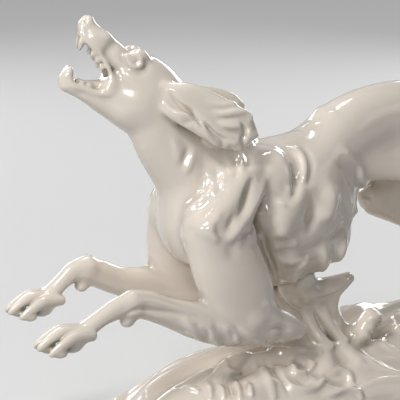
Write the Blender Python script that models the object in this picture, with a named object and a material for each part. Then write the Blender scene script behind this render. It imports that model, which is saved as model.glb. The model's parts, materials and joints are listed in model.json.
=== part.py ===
"""A porcelain borzoi figurine: a running hound, its head thrown up and its mouth open, cast in one
piece with the rocky ground below it and the tuft that carries its chest.

The hound faces -X and its left flank faces -Y. The origin is the middle of the flat underside.
"""
from math import copysign, cos, pi, radians, sin

import bmesh
import bpy
from mathutils import Matrix, Vector
from mathutils.bvhtree import BVHTree

MM = 0.001


def at(x, y, z):
    """A landmark, given in millimetres."""
    return Vector((x, y, z)) * MM


# Surface
GRAIN = 1.6 * MM
FACES = 12050

# Main reaches and heights: the near fore knuckle ahead of the origin, the tail's tip behind it, the
# poll, the top of the loin's axis, the middle of the chest and the tail's tip above the underside
FORE_REACH = 173 * MM
TAIL_REACH = 203 * MM
HEAD_HEIGHT = 188 * MM
BACK_HEIGHT = 163 * MM
CHEST_HEIGHT = 119 * MM
TAIL_HEIGHT = 116 * MM

# Ground
BASE_REACH_FRONT = 128 * MM
BASE_REACH_REAR = 162 * MM
BASE_HALF_WIDTH = 60 * MM
BASE_EDGE_HEIGHT = 12.5 * MM
UNDERSIDE_CUT_DEPTH = 30 * MM
FRONT_MOUND = at(-38, -2, 38.5)
FRONT_MOUND_REACH = 76 * MM
REAR_MOUND = at(76, 8, 40.5)
REAR_MOUND_REACH = 98 * MM
SADDLE = at(18, 0, 34.5)
SADDLE_REACH = 90 * MM
WAVE_HEIGHT = 1.7 * MM
TUFT_RADIUS = 11 * MM

# Trunk
CHEST_HALF_WIDTH = 30 * MM
CHEST_HALF_DEPTH = 41 * MM
CHEST_HALF_LENGTH = 49 * MM
LOIN_HALF_WIDTH = 17 * MM
LOIN_HALF_DEPTH = 20 * MM
CROUP_HALF_WIDTH = 18 * MM
CHEST = at(-20, 0, CHEST_HEIGHT / MM)
CHEST_FRONT = at(-74, 0, CHEST_HEIGHT / MM - 1)
WITHERS = at(-38, 0, BACK_HEIGHT / MM - 25)
LOIN = at(48, 0, BACK_HEIGHT / MM)
CROUP = at(94, 0, BACK_HEIGHT / MM - 6)

# Neck and head
NECK_HALF_WIDTH = 12.5 * MM
NECK_BASE_HALF_WIDTH = 26 * MM
POLL = at(-95, 0, HEAD_HEIGHT / MM)
HEAD_TURN = radians(12)
HEAD_TILT = radians(42)
STOP_AHEAD = 33 * MM
MUZZLE_LENGTH = 29 * MM
MUZZLE_HALF_WIDTH = 5.6 * MM
MUZZLE_HALF_DEPTH = 5.4 * MM
JAW_LENGTH = 36 * MM
JAW_DROP = 24 * MM
SKULL_HALF_WIDTH = 12 * MM
CHEEK_HALF_DEPTH = 14.5 * MM
EAR_LENGTH = 53 * MM
EAR_HALF_WIDTH = 11.2 * MM
EAR_SPREAD = 18 * MM

# Forelegs
FORE_SPREAD = 28 * MM
UPPER_ARM_HALF_WIDTH = 21 * MM
ELBOW_HALF_DEPTH = 13 * MM
CARPUS_HALF_DEPTH = 9 * MM
PASTERN_HALF_DEPTH = 5.8 * MM
NEAR_SHOULDER = at(-77, 0, CHEST_HEIGHT / MM)
NEAR_ELBOW = at(-58, 0, 67)
NEAR_CARPUS = at(42 - FORE_REACH / MM, 0, 86)
NEAR_KNUCKLE = at(-FORE_REACH / MM, 0, 78.5)
FAR_SHOULDER = at(-74, 0, CHEST_HEIGHT / MM)
FAR_ELBOW = at(-57, 0, 69)
FAR_CARPUS = at(43 - FORE_REACH / MM, 0, 90)
FAR_KNUCKLE = at(9.5 - FORE_REACH / MM, 0, 82)

# Hind legs
HIND_SPREAD = 20 * MM
THIGH_HALF_WIDTH = 22 * MM
SHANK_HALF_WIDTH = 9.5 * MM
HOCK_HALF_WIDTH = 6.2 * MM
METATARSUS_HALF_WIDTH = 4.8 * MM
NEAR_KNEE = at(76, 0, 120)
NEAR_HOCK = at(124, 0, 85)
NEAR_FOOT = at(141, 0, 45)
FAR_KNEE = at(65, 0, 110)
FAR_HOCK = at(103, 0, 82)
FAR_FOOT = at(109, 0, 47)

# Paws
TOE_RADIUS = 2.7 * MM
TOE_SPACING = 4.9 * MM
TOE_LENGTH = 14.5 * MM

# Tail
TAIL_ROOT = at(104, 3, BACK_HEIGHT / MM - 7)
TAIL_LOW = at(TAIL_REACH / MM - 37, 3, TAIL_HEIGHT / MM + 2)
TAIL_TIP = at(TAIL_REACH / MM, 3, TAIL_HEIGHT / MM)
TAIL_RADIUS = 5 * MM
TAIL_FRINGE = 12 * MM

# Fur
LOCK_HALF_WIDTH = 4.2 * MM
LOCK_HEIGHT = 2.6 * MM

# The head's own directions: along the face, out to its left, and up through its crown
AHEAD = Vector((-cos(HEAD_TURN) * cos(HEAD_TILT), sin(HEAD_TURN) * cos(HEAD_TILT), sin(HEAD_TILT)))
LEFT = Vector((-sin(HEAD_TURN), -cos(HEAD_TURN), 0))
CROWN = AHEAD.cross(LEFT)
ACROSS = Vector((0, 1, 0))


def head_at(ahead, up, left=0.0):
    """A point in the head's own frame."""
    return POLL + AHEAD * ahead + CROWN * up + LEFT * left


def between(start, end, share):
    return start.lerp(end, share)


def flow(rows, steps=4):
    """Catmull-Rom rows between the given rows of numbers, each of the same length."""
    rows = [list(row) for row in rows]
    first = [2 * a - b for a, b in zip(rows[0], rows[1])]
    last = [2 * a - b for a, b in zip(rows[-1], rows[-2])]
    wide = [first] + rows + [last]
    found = []
    for k in range(len(rows) - 1):
        a, b, c, d = wide[k:k + 4]
        for step in range(steps):
            t = step / steps
            found.append([
                0.5 * (2 * q + (r - p) * t + (2 * p - 5 * q + 4 * r - s) * t**2 + (3 * q - p - 3 * r + s) * t**3)
                for p, q, r, s in zip(a, b, c, d)
            ])
    return found + [rows[-1]]


def tube(mesh, rows, across=ACROSS, sides=18):
    """A closed limb: half ellipses carried along a smooth path, with a rounded end at each end.

    A row is a point, the half width along across, the half depth above and the half depth below.
    across is one direction, or one for each row.
    """
    many = [across] * len(rows) if isinstance(across, Vector) else across
    numbers = [[*p, wide, above, below, *side] for (p, wide, above, below), side in zip(rows, many)]
    numbers = flow(numbers)
    spine = [Vector(row[:3]) for row in numbers]
    last = len(spine) - 1
    frames = []
    for k, row in enumerate(numbers):
        tangent = (spine[min(k + 1, last)] - spine[max(k - 1, 0)]).normalized()
        side = Vector(row[6:9])
        side = (side - tangent * side.dot(tangent)).normalized()
        frames.append((spine[k], tangent, side, tangent.cross(side), row[3], row[4], row[5]))
    flip = -1 if sum(frame[3].z for frame in frames) < 0 else 1
    rings = []

    def ring(frame, shrink, shift):
        centre, tangent, side, lift, wide, above, below = frame
        points = []
        for j in range(sides):
            turn = 2 * pi * j / sides
            depth = above if sin(turn) > 0 else below
            offset = side * (wide * shrink * cos(turn)) + lift * (flip * depth * shrink * sin(turn))
            points.append(mesh.verts.new(centre + tangent * shift + offset))
        rings.append(points)

    def cap(frame, sign, angles):
        length = min(frame[4], (frame[5] + frame[6]) / 2)
        for angle in angles:
            ring(frame, cos(angle), sign * length * sin(angle))

    cap(frames[0], -1, (1.45, 1.1, 0.55))
    for frame in frames:
        ring(frame, 1, 0)
    cap(frames[-1], 1, (0.55, 1.1, 1.45))
    for one, two in zip(rings, rings[1:]):
        for j in range(sides):
            k = (j + 1) % sides
            mesh.faces.new((one[j], one[k], two[k], two[j]))
    mesh.faces.new(rings[0][::-1])
    mesh.faces.new(rings[-1])


def ball(mesh, centre, radii, frame=None):
    """An ellipsoid with its radii along the frame's three directions."""
    frame = frame or (Vector((1, 0, 0)), Vector((0, 1, 0)), Vector((0, 0, 1)))
    matrix = Matrix([v * r for v, r in zip(frame, radii)]).transposed().to_4x4()
    matrix.translation = centre
    bmesh.ops.create_uvsphere(mesh, u_segments=28, v_segments=16, radius=1, matrix=matrix)


def sided(point, y):
    """The same landmark on a leg at y."""
    return Vector((point.x, y, point.z))


def add_trunk(mesh):
    lean = radians(10)
    frame = (Vector((cos(lean), 0, sin(lean))), ACROSS, Vector((-sin(lean), 0, cos(lean))))
    ball(mesh, CHEST, (CHEST_HALF_LENGTH, CHEST_HALF_WIDTH, CHEST_HALF_DEPTH), frame)
    keel = CHEST + at(-8, 0, -16)
    ball(mesh, keel, (CHEST_HALF_LENGTH - 7 * MM, CHEST_HALF_WIDTH - 10 * MM, CHEST_HALF_DEPTH - 13 * MM))
    wide = LOIN_HALF_WIDTH
    deep = LOIN_HALF_DEPTH
    tube(mesh, [
        (WITHERS, wide + 5 * MM, deep - 5 * MM, deep),
        (between(WITHERS, LOIN, 0.33) + at(0, 0, -6), wide + 6 * MM, deep - 3.5 * MM, deep + 4 * MM),
        (between(WITHERS, LOIN, 0.67) + at(0, 0, -1), wide + 2 * MM, deep + 2.5 * MM, deep + 1 * MM),
        (LOIN, wide - 1 * MM, deep + 1 * MM, deep - 1 * MM),
        (between(LOIN, CROUP, 0.5) + at(2, 0, 2), wide, deep + 0.5 * MM, deep),
        (CROUP + at(5, 0, -4), wide, deep - 3 * MM, deep - 4 * MM),
    ], sides=28)
    ball(mesh, CROUP, (24 * MM, CROUP_HALF_WIDTH, 20 * MM))
    ball(mesh, CHEST_FRONT + at(-1, 0, 6), (22 * MM, 24 * MM, 28 * MM))
    for side in (-1, 1):
        flank = sided(CHEST + at(48, 0, 17), side * 9 * MM)
        thigh = sided(between(NEAR_KNEE, FAR_KNEE, 0.5) + at(7, 0, 12), side * (HIND_SPREAD - 2 * MM))
        tube(mesh, [
            (flank, 5 * MM, 9 * MM, 7.5 * MM),
            (between(flank, thigh, 0.35) + at(0, 0, 2), 4.5 * MM, 8 * MM, 7.5 * MM),
            (between(flank, thigh, 0.7) + at(0, 0, 3), 4.5 * MM, 9 * MM, 7.5 * MM),
            (thigh, 5 * MM, 9 * MM, 6 * MM),
        ], sides=14)


def add_neck(mesh):
    top = POLL + at(-4, 0, 3)
    root = between(CHEST_FRONT, WITHERS, 0.5) + at(2, 0, -6)
    slim = NECK_HALF_WIDTH
    broad = NECK_BASE_HALF_WIDTH
    tube(mesh, [
        (top, slim, 15 * MM, 17 * MM),
        (between(top, root, 0.28) + at(-6, 0, 1), slim + 2 * MM, 20 * MM, 21 * MM),
        (between(top, root, 0.55) + at(-5.5, 0, 0), slim + 5 * MM, 26 * MM, 24 * MM),
        (between(top, root, 0.8) + at(-4.5, 0, -2), broad - 4 * MM, 31 * MM, 30 * MM),
        (root, broad, 30 * MM, 30 * MM),
    ], sides=28)


def add_foreleg(mesh, side, shoulder, elbow, carpus, knuckle):
    y = side * FORE_SPREAD
    out = side * 2 * MM
    wide = UPPER_ARM_HALF_WIDTH
    blade = WITHERS + at(2, 0, 9)
    tube(mesh, [
        (sided(blade, y - side * 16 * MM), 9 * MM, wide - 9.5 * MM, wide - 9.5 * MM),
        (sided(between(blade, shoulder, 0.5), y - side * 7 * MM), 11 * MM, wide - 4.5 * MM, wide - 4.5 * MM),
        (sided(shoulder, y - side * 2 * MM), 12 * MM, wide - 5 * MM, wide - 5 * MM),
    ])
    tube(mesh, [
        (sided(shoulder, y - side * 4 * MM) + at(1, 0, 3), 12 * MM, wide, wide),
        (sided(between(shoulder, elbow, 0.35), y), 12 * MM, wide + 1 * MM, wide + 1 * MM),
        (sided(between(shoulder, elbow, 0.7), y + out), 11.5 * MM, wide + 1 * MM, wide + 1 * MM),
        (sided(elbow, y + out) + at(0, 0, 4), 10 * MM, wide - 4 * MM, wide - 4 * MM),
    ], sides=24)
    deep = ELBOW_HALF_DEPTH
    wrist = CARPUS_HALF_DEPTH
    tube(mesh, [
        (sided(elbow, y + out) + at(10, 0, -3), 9 * MM, deep - 1 * MM, deep - 1 * MM),
        (sided(between(elbow, carpus, 0.17), y + out) + at(0, 0, -2.5), 9 * MM, deep, deep),
        (sided(between(elbow, carpus, 0.45), y + side * MM) + at(0, 0, -3), 8 * MM, deep - 2 * MM, deep - 1.5 * MM),
        (sided(between(elbow, carpus, 0.7), y), 6.6 * MM, wrist, wrist - 0.5 * MM),
        (sided(between(elbow, carpus, 0.88), y) + at(0, 0, 1), 6.3 * MM, wrist, wrist - 1 * MM),
        (sided(carpus, y), 6.2 * MM, wrist, wrist - 1.5 * MM),
    ])
    ball(mesh, sided(carpus, y) + at(-3.5, 0, -8), (4.5 * MM, 4 * MM, 4 * MM))
    thin = PASTERN_HALF_DEPTH
    tube(mesh, [
        (sided(carpus, y), 6.2 * MM, wrist - 1 * MM, thin + 1 * MM),
        (sided(between(carpus, knuckle, 0.33), y) + at(0, 0, 0.2), 5.3 * MM, thin, thin),
        (sided(between(carpus, knuckle, 0.66), y) + at(0, 0, -3.8), 5.2 * MM, thin - 0.5 * MM, thin - 0.3 * MM),
        (sided(knuckle, y) + at(8, 0, -3), 6.4 * MM, thin, thin - 0.8 * MM),
    ], sides=14)
    tube(mesh, [
        (sided(elbow, y + out) + at(2, 0, -1), 9 * MM, deep - 2 * MM, deep - 1 * MM),
        (sided(elbow, y + out) + at(18, 0, -7), 7 * MM, deep - 4 * MM, deep - 4 * MM),
        (sided(elbow, y) + at(31, 0, -12), 4.5 * MM, deep - 8 * MM, deep - 9 * MM),
    ])


def add_paw(mesh, y, knuckle, along, down):
    """Four toes side by side, the middle two ahead, with pads below; along and down are the paw's directions."""
    for place in (-1.5, -0.5, 0.5, 1.5):
        outer = abs(place) > 1
        start = sided(knuckle, y) + ACROSS * (place * TOE_SPACING) - along * (4 * MM if outer else 0)
        start += down * (2 * MM if outer else 0)
        tube(mesh, [
            (start - along * 11 * MM + down * 1.5 * MM, TOE_RADIUS, TOE_RADIUS, TOE_RADIUS),
            (start, TOE_RADIUS, TOE_RADIUS + 0.5 * MM, TOE_RADIUS),
            (start + along * (TOE_LENGTH * 0.5) + down * 3 * MM, TOE_RADIUS - 0.3 * MM, TOE_RADIUS, TOE_RADIUS),
            (start + along * TOE_LENGTH + down * 6.5 * MM, TOE_RADIUS - 1 * MM, TOE_RADIUS - 1 * MM, TOE_RADIUS - 1 * MM),
        ], sides=10)
    centre = sided(knuckle, y) + down * 8 * MM - along * 6 * MM
    ball(mesh, centre, (7 * MM, 6.5 * MM, 4.4 * MM), (along, ACROSS, along.cross(ACROSS)))


def add_hind_leg(mesh, side, knee, hock, foot):
    y = side * HIND_SPREAD
    hip = CROUP + at(-3, 0, 1)
    wide = THIGH_HALF_WIDTH
    tube(mesh, [
        (sided(hip, y * 0.5), 10 * MM, wide, wide),
        (sided(between(hip, knee, 0.5), y * 0.85) + at(3, 0, 2), 11 * MM, wide - 2 * MM, wide - 2 * MM),
        (sided(knee, y), 8.5 * MM, wide - 9 * MM, wide - 9 * MM),
    ], sides=24)
    shank = SHANK_HALF_WIDTH
    tube(mesh, [
        (sided(knee, y), 8 * MM, shank + 3 * MM, shank + 3 * MM),
        (sided(between(knee, hock, 0.5), y) + at(0, 0, 1), 6.2 * MM, shank, shank),
        (sided(hock, y), 4.8 * MM, HOCK_HALF_WIDTH, HOCK_HALF_WIDTH),
    ])
    slim = METATARSUS_HALF_WIDTH
    tube(mesh, [
        (sided(hock, y) + at(1, 0, 1), 4.8 * MM, HOCK_HALF_WIDTH, HOCK_HALF_WIDTH),
        (sided(between(hock, foot, 0.5), y), 4.4 * MM, slim, slim),
        (sided(foot, y), 5.4 * MM, slim + 0.4 * MM, slim + 0.4 * MM),
    ], sides=14)
    along = Vector((-cos(radians(12)), 0, sin(radians(-12))))
    add_paw(mesh, y, foot + at(-6, 0, -2), along, Vector((0, 0, -1)))


def add_head(mesh):
    frame = (AHEAD, LEFT, CROWN)
    skull = SKULL_HALF_WIDTH
    ball(mesh, head_at(10 * MM, 3.5 * MM), (15.5 * MM, skull, 13 * MM), frame)
    ball(mesh, head_at(STOP_AHEAD - 12 * MM, 4 * MM), (12 * MM, skull - 1.5 * MM, 10 * MM), frame)
    ball(mesh, head_at(-1 * MM, 7 * MM), (6 * MM, skull * 0.5, 8 * MM), frame)
    for side in (-1, 1):
        ball(mesh, head_at(12.5 * MM, -9 * MM, side * 5.2 * MM), (13 * MM, skull - 3.5 * MM, CHEEK_HALF_DEPTH), frame)
        ball(mesh, head_at(STOP_AHEAD - 5 * MM, 9 * MM, side * 6.2 * MM), (5.5 * MM, 4.2 * MM, 4.8 * MM), frame)
        ball(mesh, head_at(STOP_AHEAD + MUZZLE_LENGTH - 13 * MM, 1 * MM, side * 2.6 * MM), (7 * MM, 4.4 * MM, 5.2 * MM), frame)
    wide = MUZZLE_HALF_WIDTH
    deep = MUZZLE_HALF_DEPTH
    tip = STOP_AHEAD + MUZZLE_LENGTH
    tube(mesh, [
        (head_at(STOP_AHEAD - 8 * MM, 2 * MM), wide + 3 * MM, deep + 2 * MM, deep + 4 * MM),
        (head_at(STOP_AHEAD + 3 * MM, 1.6 * MM), wide + 1.6 * MM, deep + 1.8 * MM, deep + 2.4 * MM),
        (head_at(tip - 16 * MM, 3 * MM), wide, deep + 0.4 * MM, deep + 0.2 * MM),
        (head_at(tip - 6 * MM, 3.4 * MM), wide - 0.6 * MM, deep, deep - 0.4 * MM),
        (head_at(tip - 1.5 * MM, 4.4 * MM), wide - 1.8 * MM, deep - 1 * MM, deep - 0.8 * MM),
    ], LEFT, 16)
    ball(mesh, head_at(tip - 1 * MM, 6 * MM), (3.8 * MM, 3.7 * MM, 4 * MM), frame)
    for side in (-1, 1):
        root = head_at(tip - 7 * MM, -1 * MM, side * (wide - 2.6 * MM))
        tube(mesh, [
            (root, 1.7 * MM, 2 * MM, 2 * MM),
            (root - CROWN * 4 * MM, 1.5 * MM, 1.7 * MM, 1.7 * MM),
            (root - CROWN * 7.5 * MM, 1.1 * MM, 1.1 * MM, 1.1 * MM),
        ], LEFT, 8)
        gum = head_at(tip - 14 * MM, -3 * MM, side * (wide - 2.8 * MM))
        tube(mesh, [
            (gum, 1.6 * MM, 2 * MM, 2 * MM),
            (gum - AHEAD * 10 * MM - CROWN * 1.5 * MM, 1.6 * MM, 2 * MM, 2.6 * MM),
        ], LEFT, 8)
    hinge = head_at(14 * MM, -15 * MM)
    chin = head_at(14 * MM + JAW_LENGTH, -JAW_DROP - 2 * MM)
    tube(mesh, [
        (hinge, 8.5 * MM, 9 * MM, 10 * MM),
        (between(hinge, chin, 0.38) - CROWN * 1.5 * MM, 7 * MM, 5.6 * MM, 6.6 * MM),
        (between(hinge, chin, 0.7) - CROWN * 1.3 * MM, 5.6 * MM, 3.6 * MM, 4.4 * MM),
        (chin - AHEAD * 1 * MM, 4.2 * MM, 3 * MM, 3.6 * MM),
    ], LEFT, 16)
    ball(mesh, chin + AHEAD * 1 * MM + CROWN * 3.5 * MM, (2.9 * MM, 3.6 * MM, 5.6 * MM), frame)
    tube(mesh, [
        (hinge + AHEAD * 10 * MM, 4.8 * MM, 4 * MM, 4 * MM),
        (between(hinge, chin, 0.5) + CROWN * 2.5 * MM, 4.2 * MM, 3.6 * MM, 4 * MM),
        (between(hinge, chin, 0.8) + CROWN * 2 * MM, 3 * MM, 2 * MM, 3 * MM),
    ], LEFT, 12)
    for side, reach, rises in ((1, EAR_LENGTH, (5.5, 6.6, 8.4, 11, 12.7, 12.4)), (-1, EAR_LENGTH + 2 * MM, (4.5, 3.8, 5, 8.4, 16.6, 22.2))):
        rows = []
        for share, rise, out, wide, thick in zip((0, 0.12, 0.28, 0.52, 0.8, 1), rises, (0.6, 0.74, 0.86, 0.98, 1.04, 1),
                                                 (0.3, 0.64, 0.88, 0.97, 1.02, 0.74), (2.7, 3.2, 3.4, 3.6, 4, 3.2)):
            point = head_at(9 * MM - reach * share, rise * MM, side * out * EAR_SPREAD)
            rows.append((point, thick * MM, wide * EAR_HALF_WIDTH, wide * EAR_HALF_WIDTH))
        tube(mesh, rows, LEFT)
        tube(mesh, [
            (head_at(7.5 * MM, -0.8 * MM, side * 0.66 * EAR_SPREAD), 2.4 * MM, 2.6 * MM, 2.6 * MM),
            (head_at(0, -2.6 * MM, side * 0.83 * EAR_SPREAD), 2.5 * MM, 3 * MM, 3 * MM),
            (head_at(-9 * MM, -1.6 * MM, side * 1 * EAR_SPREAD), 2.6 * MM, 3 * MM, 3 * MM),
            (head_at(-19 * MM, 0, side * 1.08 * EAR_SPREAD), 2.5 * MM, 2.8 * MM, 2.8 * MM),
            (head_at(-30 * MM, 1.4 * MM, side * 1.1 * EAR_SPREAD), 2.2 * MM, 2.2 * MM, 2.2 * MM),
        ], LEFT, 12)


def add_tail(mesh):
    radius = TAIL_RADIUS
    tube(mesh, [
        (TAIL_ROOT, radius + 3 * MM, radius + 3 * MM, radius + 4 * MM),
        (between(TAIL_ROOT, TAIL_LOW, 0.42) + at(0, 0, 4), radius + 0.5 * MM, radius + 1 * MM, TAIL_FRINGE - 2 * MM),
        (TAIL_LOW, radius - 0.5 * MM, radius, TAIL_FRINGE),
        (between(TAIL_LOW, TAIL_TIP, 0.55) + at(0, 0, -5), radius - 1 * MM, radius, TAIL_FRINGE - 4 * MM),
        (TAIL_TIP, 2 * MM, 2 * MM, 2.5 * MM),
    ])
    for share, hang in ((0.3, 20), (0.6, 24), (0.9, 24)):
        root = between(TAIL_ROOT, TAIL_LOW, share) + at(0, 0, -2)
        tube(mesh, [
            (root, 3.5 * MM, 6 * MM, 6 * MM),
            (root + at(6, 0.5, -hang * 0.55), 3 * MM, 5 * MM, 5 * MM),
            (root + at(15, 1, -hang), 1.4 * MM, 1.6 * MM, 1.6 * MM),
        ], sides=12)


def add_lock(mesh, skin, side, places, size=1.0, height=1.0):
    """A fur lock laid on the skin: its path is given by x and z in millimetres and cast onto the flank."""
    rows = []
    many = []
    shape = ((0.55, 0.5), (1.0, 0.95), (0.85, 1.0), (0.25, 0.55))
    path = flow([[x, z] for x, z in places], 3)
    chosen = [path[round(k * (len(path) - 1) / 3)] for k in range(4)]
    hits = []
    for x, z in chosen:
        start = Vector((x * MM, side * 90 * MM, z * MM))
        point, normal, _, _ = skin.ray_cast(start, Vector((0, -side, 0)))
        if point is None or point.y * side < 0:
            point, normal, _, _ = skin.find_nearest(Vector((x * MM, side * 12 * MM, z * MM)))
        if normal.dot(point - start) > 0:
            normal = -normal
        hits.append((point, normal))
    for k, (point, normal) in enumerate(hits):
        ahead = hits[min(k + 1, 3)][0] - hits[max(k - 1, 0)][0]
        wide, high = shape[k]
        wide *= LOCK_HALF_WIDTH * size
        high *= LOCK_HEIGHT * height
        rows.append((point - normal * (0.2 * high), wide, high, high))
        many.append(ahead.cross(normal).normalized())
    for k in range(1, 4):
        if many[k].dot(many[0]) < 0:
            many[k] = -many[k]
    tube(mesh, rows, many, 12)


NECK_LOCKS = (
    [(-86, 152), (-78, 149), (-70, 145), (-64, 143)],
    [(-80, 160), (-71, 156), (-63, 152), (-57, 149)],
    [(-93, 166), (-89, 160), (-85, 152)],
    [(-91, 131), (-83, 138), (-76, 145)],
    [(-80, 143), (-77, 134), (-73, 124)],
    [(-70, 145), (-68, 136), (-65, 127)],
    [(-76, 135), (-73, 124), (-68, 115)],
    [(-66, 138), (-63, 128), (-59, 118)],
)
SHOULDER_LOCKS = (
    [(-48, 156), (-39, 149), (-33, 140), (-33, 131)],
    [(-32, 159), (-24, 154), (-19, 147), (-23, 139)],
    [(-52, 144), (-44, 138), (-36, 132)],
    [(-58, 138), (-51, 128), (-43, 119)],
    [(-52, 134), (-43, 124), (-35, 114)],
    [(-46, 121), (-40, 111), (-33, 101)],
    [(-36, 120), (-30, 110), (-23, 100)],
    [(-30, 106), (-22, 97), (-12, 87)],
    [(-18, 104), (-9, 94), (3, 84)],
    [(-3, 110), (8, 99), (19, 90)],
)
ARM_LOCKS = (
    [(-100, 74), (-88, 67), (-75, 58)],
    [(-80, 70), (-66, 62), (-52, 55)],
    [(-57, 70), (-42, 62), (-27, 56)],
    [(-52, 77), (-40, 72), (-29, 65)],
)
THIGH_LOCKS = (
    [(104, 150), (112, 138), (116, 124)],
    [(98, 140), (106, 126), (109, 116)],
)


def ground_height(x, y):
    """The height of the ground over the plan: mounds under the chest and the hind feet, a saddle between
    them, and waves that run along the base and turn aside as they go."""
    rise = 0
    for mound, reach, across, power in (
        (FRONT_MOUND, FRONT_MOUND_REACH, BASE_HALF_WIDTH - 4 * MM, 0.85),
        (REAR_MOUND, REAR_MOUND_REACH, BASE_HALF_WIDTH - 4 * MM, 0.75),
        (SADDLE, SADDLE_REACH, BASE_HALF_WIDTH - 8 * MM, 0.75),
    ):
        away = ((x - mound.x) / reach) ** 2 + ((y - mound.y) / across) ** 2
        rise = max(rise, (mound.z - BASE_EDGE_HEIGHT) * max(1 - away, 0) ** power)
    a, b = x / MM, y / MM
    drift = b + 7 * sin(a / 27 + 0.7) + 3.5 * sin(a / 12.5 - b / 19)
    waves = sin(drift / 3.9) + 0.65 * sin(drift / 2.3 + a / 21) + 0.47 * sin(a / 9 - drift / 6)
    edge = (abs(a - 17) / 150) ** 3 + (abs(b) / 62) ** 3
    return BASE_EDGE_HEIGHT + rise + WAVE_HEIGHT * waves * min(max(1.25 - edge, 0), 1)


def add_ground(mesh):
    middle = (BASE_REACH_REAR - BASE_REACH_FRONT) / 2
    length = (BASE_REACH_REAR + BASE_REACH_FRONT) / 2
    rounding = ((0.93, 0.5), (0.97, 2.0), (0.99, 4.0), (1.0, 7.0))
    rings = []

    def ring(share, drop=0.0, height=None):
        points = []
        for k in range(72):
            turn = 2 * pi * k / 72
            wave = 0.988 + 0.014 * sin(5 * turn + 0.6) + 0.009 * sin(9 * turn)
            x = middle + length * share * wave * copysign(abs(cos(turn)) ** 0.8, cos(turn))
            y = BASE_HALF_WIDTH * share * wave * copysign(abs(sin(turn)) ** 0.9, sin(turn))
            z = ground_height(x, y) - drop if height is None else height
            points.append(mesh.verts.new((x, y, z)))
        rings.append(points)

    for k in range(14):
        ring(0.04 + 0.84 * k / 13)
    for share, drop in rounding:
        ring(share, drop * MM)
    ring(1.0, height=2 * MM)
    ring(1.0, height=-12 * MM)
    for one, two in zip(rings, rings[1:]):
        for k in range(72):
            j = (k + 1) % 72
            mesh.faces.new((one[k], two[k], two[j], one[j]))
    mesh.faces.new(rings[0])
    mesh.faces.new(rings[-1][::-1])
    for foot, y in ((NEAR_FOOT, -HIND_SPREAD), (FAR_FOOT, HIND_SPREAD)):
        top = foot.z - 10.5 * MM
        ball(mesh, Vector((foot.x - 13 * MM, y, top - 19.5 * MM)), (23 * MM, 16 * MM, 19.5 * MM))


def add_tuft(mesh):
    """The leafy tuft that props the chest: a stem on spreading roots, a pointed leaf behind, a curled one below it."""
    stem = TUFT_RADIUS
    foot = at(4, 0, 14)
    crown = CHEST + at(13, -2, -40)
    tube(mesh, [
        (foot, stem + 4 * MM, stem + 6 * MM, stem + 7 * MM),
        (between(foot, crown, 0.31) + at(4, 0, 0), stem, stem + 1 * MM, stem + 3 * MM),
        (between(foot, crown, 0.55) + at(6, 0, 0), stem - 2 * MM, stem - 2.5 * MM, stem),
        (between(foot, crown, 0.74) + at(4, 0, 0), stem - 2 * MM, stem - 2 * MM, stem + 1 * MM),
        (between(foot, crown, 0.89) + at(1, 0, 0), stem, stem - 1 * MM, stem + 4 * MM),
        (crown, stem + 1 * MM, stem - 1 * MM, stem + 5 * MM),
    ], sides=20)
    tip = at(23.5, -7, 73)
    root = at(3, -6, 50)
    tube(mesh, [
        (root, 6 * MM, 8 * MM, 5 * MM),
        (between(root, tip, 0.3) + at(-2, 0, 3), 6.6 * MM, 8 * MM, 5 * MM),
        (between(root, tip, 0.55) + at(-1, 0, 4.5), 6 * MM, 5.6 * MM, 4 * MM),
        (between(root, tip, 0.8) + at(0, 0, 2.5), 4.4 * MM, 3 * MM, 2.6 * MM),
        (tip, 2.2 * MM, 1.6 * MM, 1.6 * MM),
    ], sides=14)
    tube(mesh, [
        (at(-4, 8, 50), 7 * MM, 8 * MM, 8 * MM),
        (at(-12, 10, 60), 7 * MM, 7 * MM, 7 * MM),
        (at(-20, 11, 68), 5 * MM, 4 * MM, 4 * MM),
    ], sides=14)
    tube(mesh, [
        (at(22, -15, 34), 6 * MM, 5.5 * MM, 5.5 * MM),
        (at(27, -19, 45), 6.4 * MM, 5.5 * MM, 5.5 * MM),
        (at(31, -19, 51), 5.6 * MM, 4.4 * MM, 4.4 * MM),
        (at(35, -17, 50), 4.4 * MM, 3.4 * MM, 3.4 * MM),
        (at(37, -15, 42), 3.4 * MM, 3 * MM, 3 * MM),
    ], sides=14)
    for turn in (30, 80, 130, 175, 215, 255, 290, 330):
        lean = Vector((cos(radians(turn)), sin(radians(turn)), 0))
        tube(mesh, [
            (Vector((4 * MM + lean.x * 38 * MM, lean.y * 30 * MM, 28 * MM)), 4 * MM, 2.5 * MM, 2.5 * MM),
            (Vector((4 * MM + lean.x * 25 * MM, lean.y * 19 * MM, 34 * MM)), 5.5 * MM, 4.5 * MM, 4.5 * MM),
            (Vector((5 * MM + lean.x * 14 * MM, lean.y * 11 * MM, 44 * MM)), 5 * MM, 4.5 * MM, 4.5 * MM),
            (Vector((5 * MM + lean.x * 9 * MM, lean.y * 7 * MM, 58 * MM)), 3 * MM, 2.5 * MM, 2.5 * MM),
        ], sides=12)


def glaze():
    material = bpy.data.materials.new("white glaze")
    material.use_nodes = True
    shader = material.node_tree.nodes["Principled BSDF"]
    shader.inputs["Base Color"].default_value = (0.84, 0.82, 0.78, 1)
    shader.inputs["Roughness"].default_value = 0.08
    shader.inputs["Metallic"].default_value = 0
    shader.inputs["Coat Weight"].default_value = 1
    return material


def add_modifier(thing, name, kind, **values):
    modifier = thing.modifiers.new(name, kind)
    for key, value in values.items():
        setattr(modifier, key, value)
    return modifier


def thing_of(name, mesh):
    bmesh.ops.recalc_face_normals(mesh, faces=mesh.faces)
    data = bpy.data.meshes.new(name)
    mesh.to_mesh(data)
    thing = bpy.data.objects.new(name, data)
    bpy.context.scene.collection.objects.link(thing)
    return thing


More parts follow.
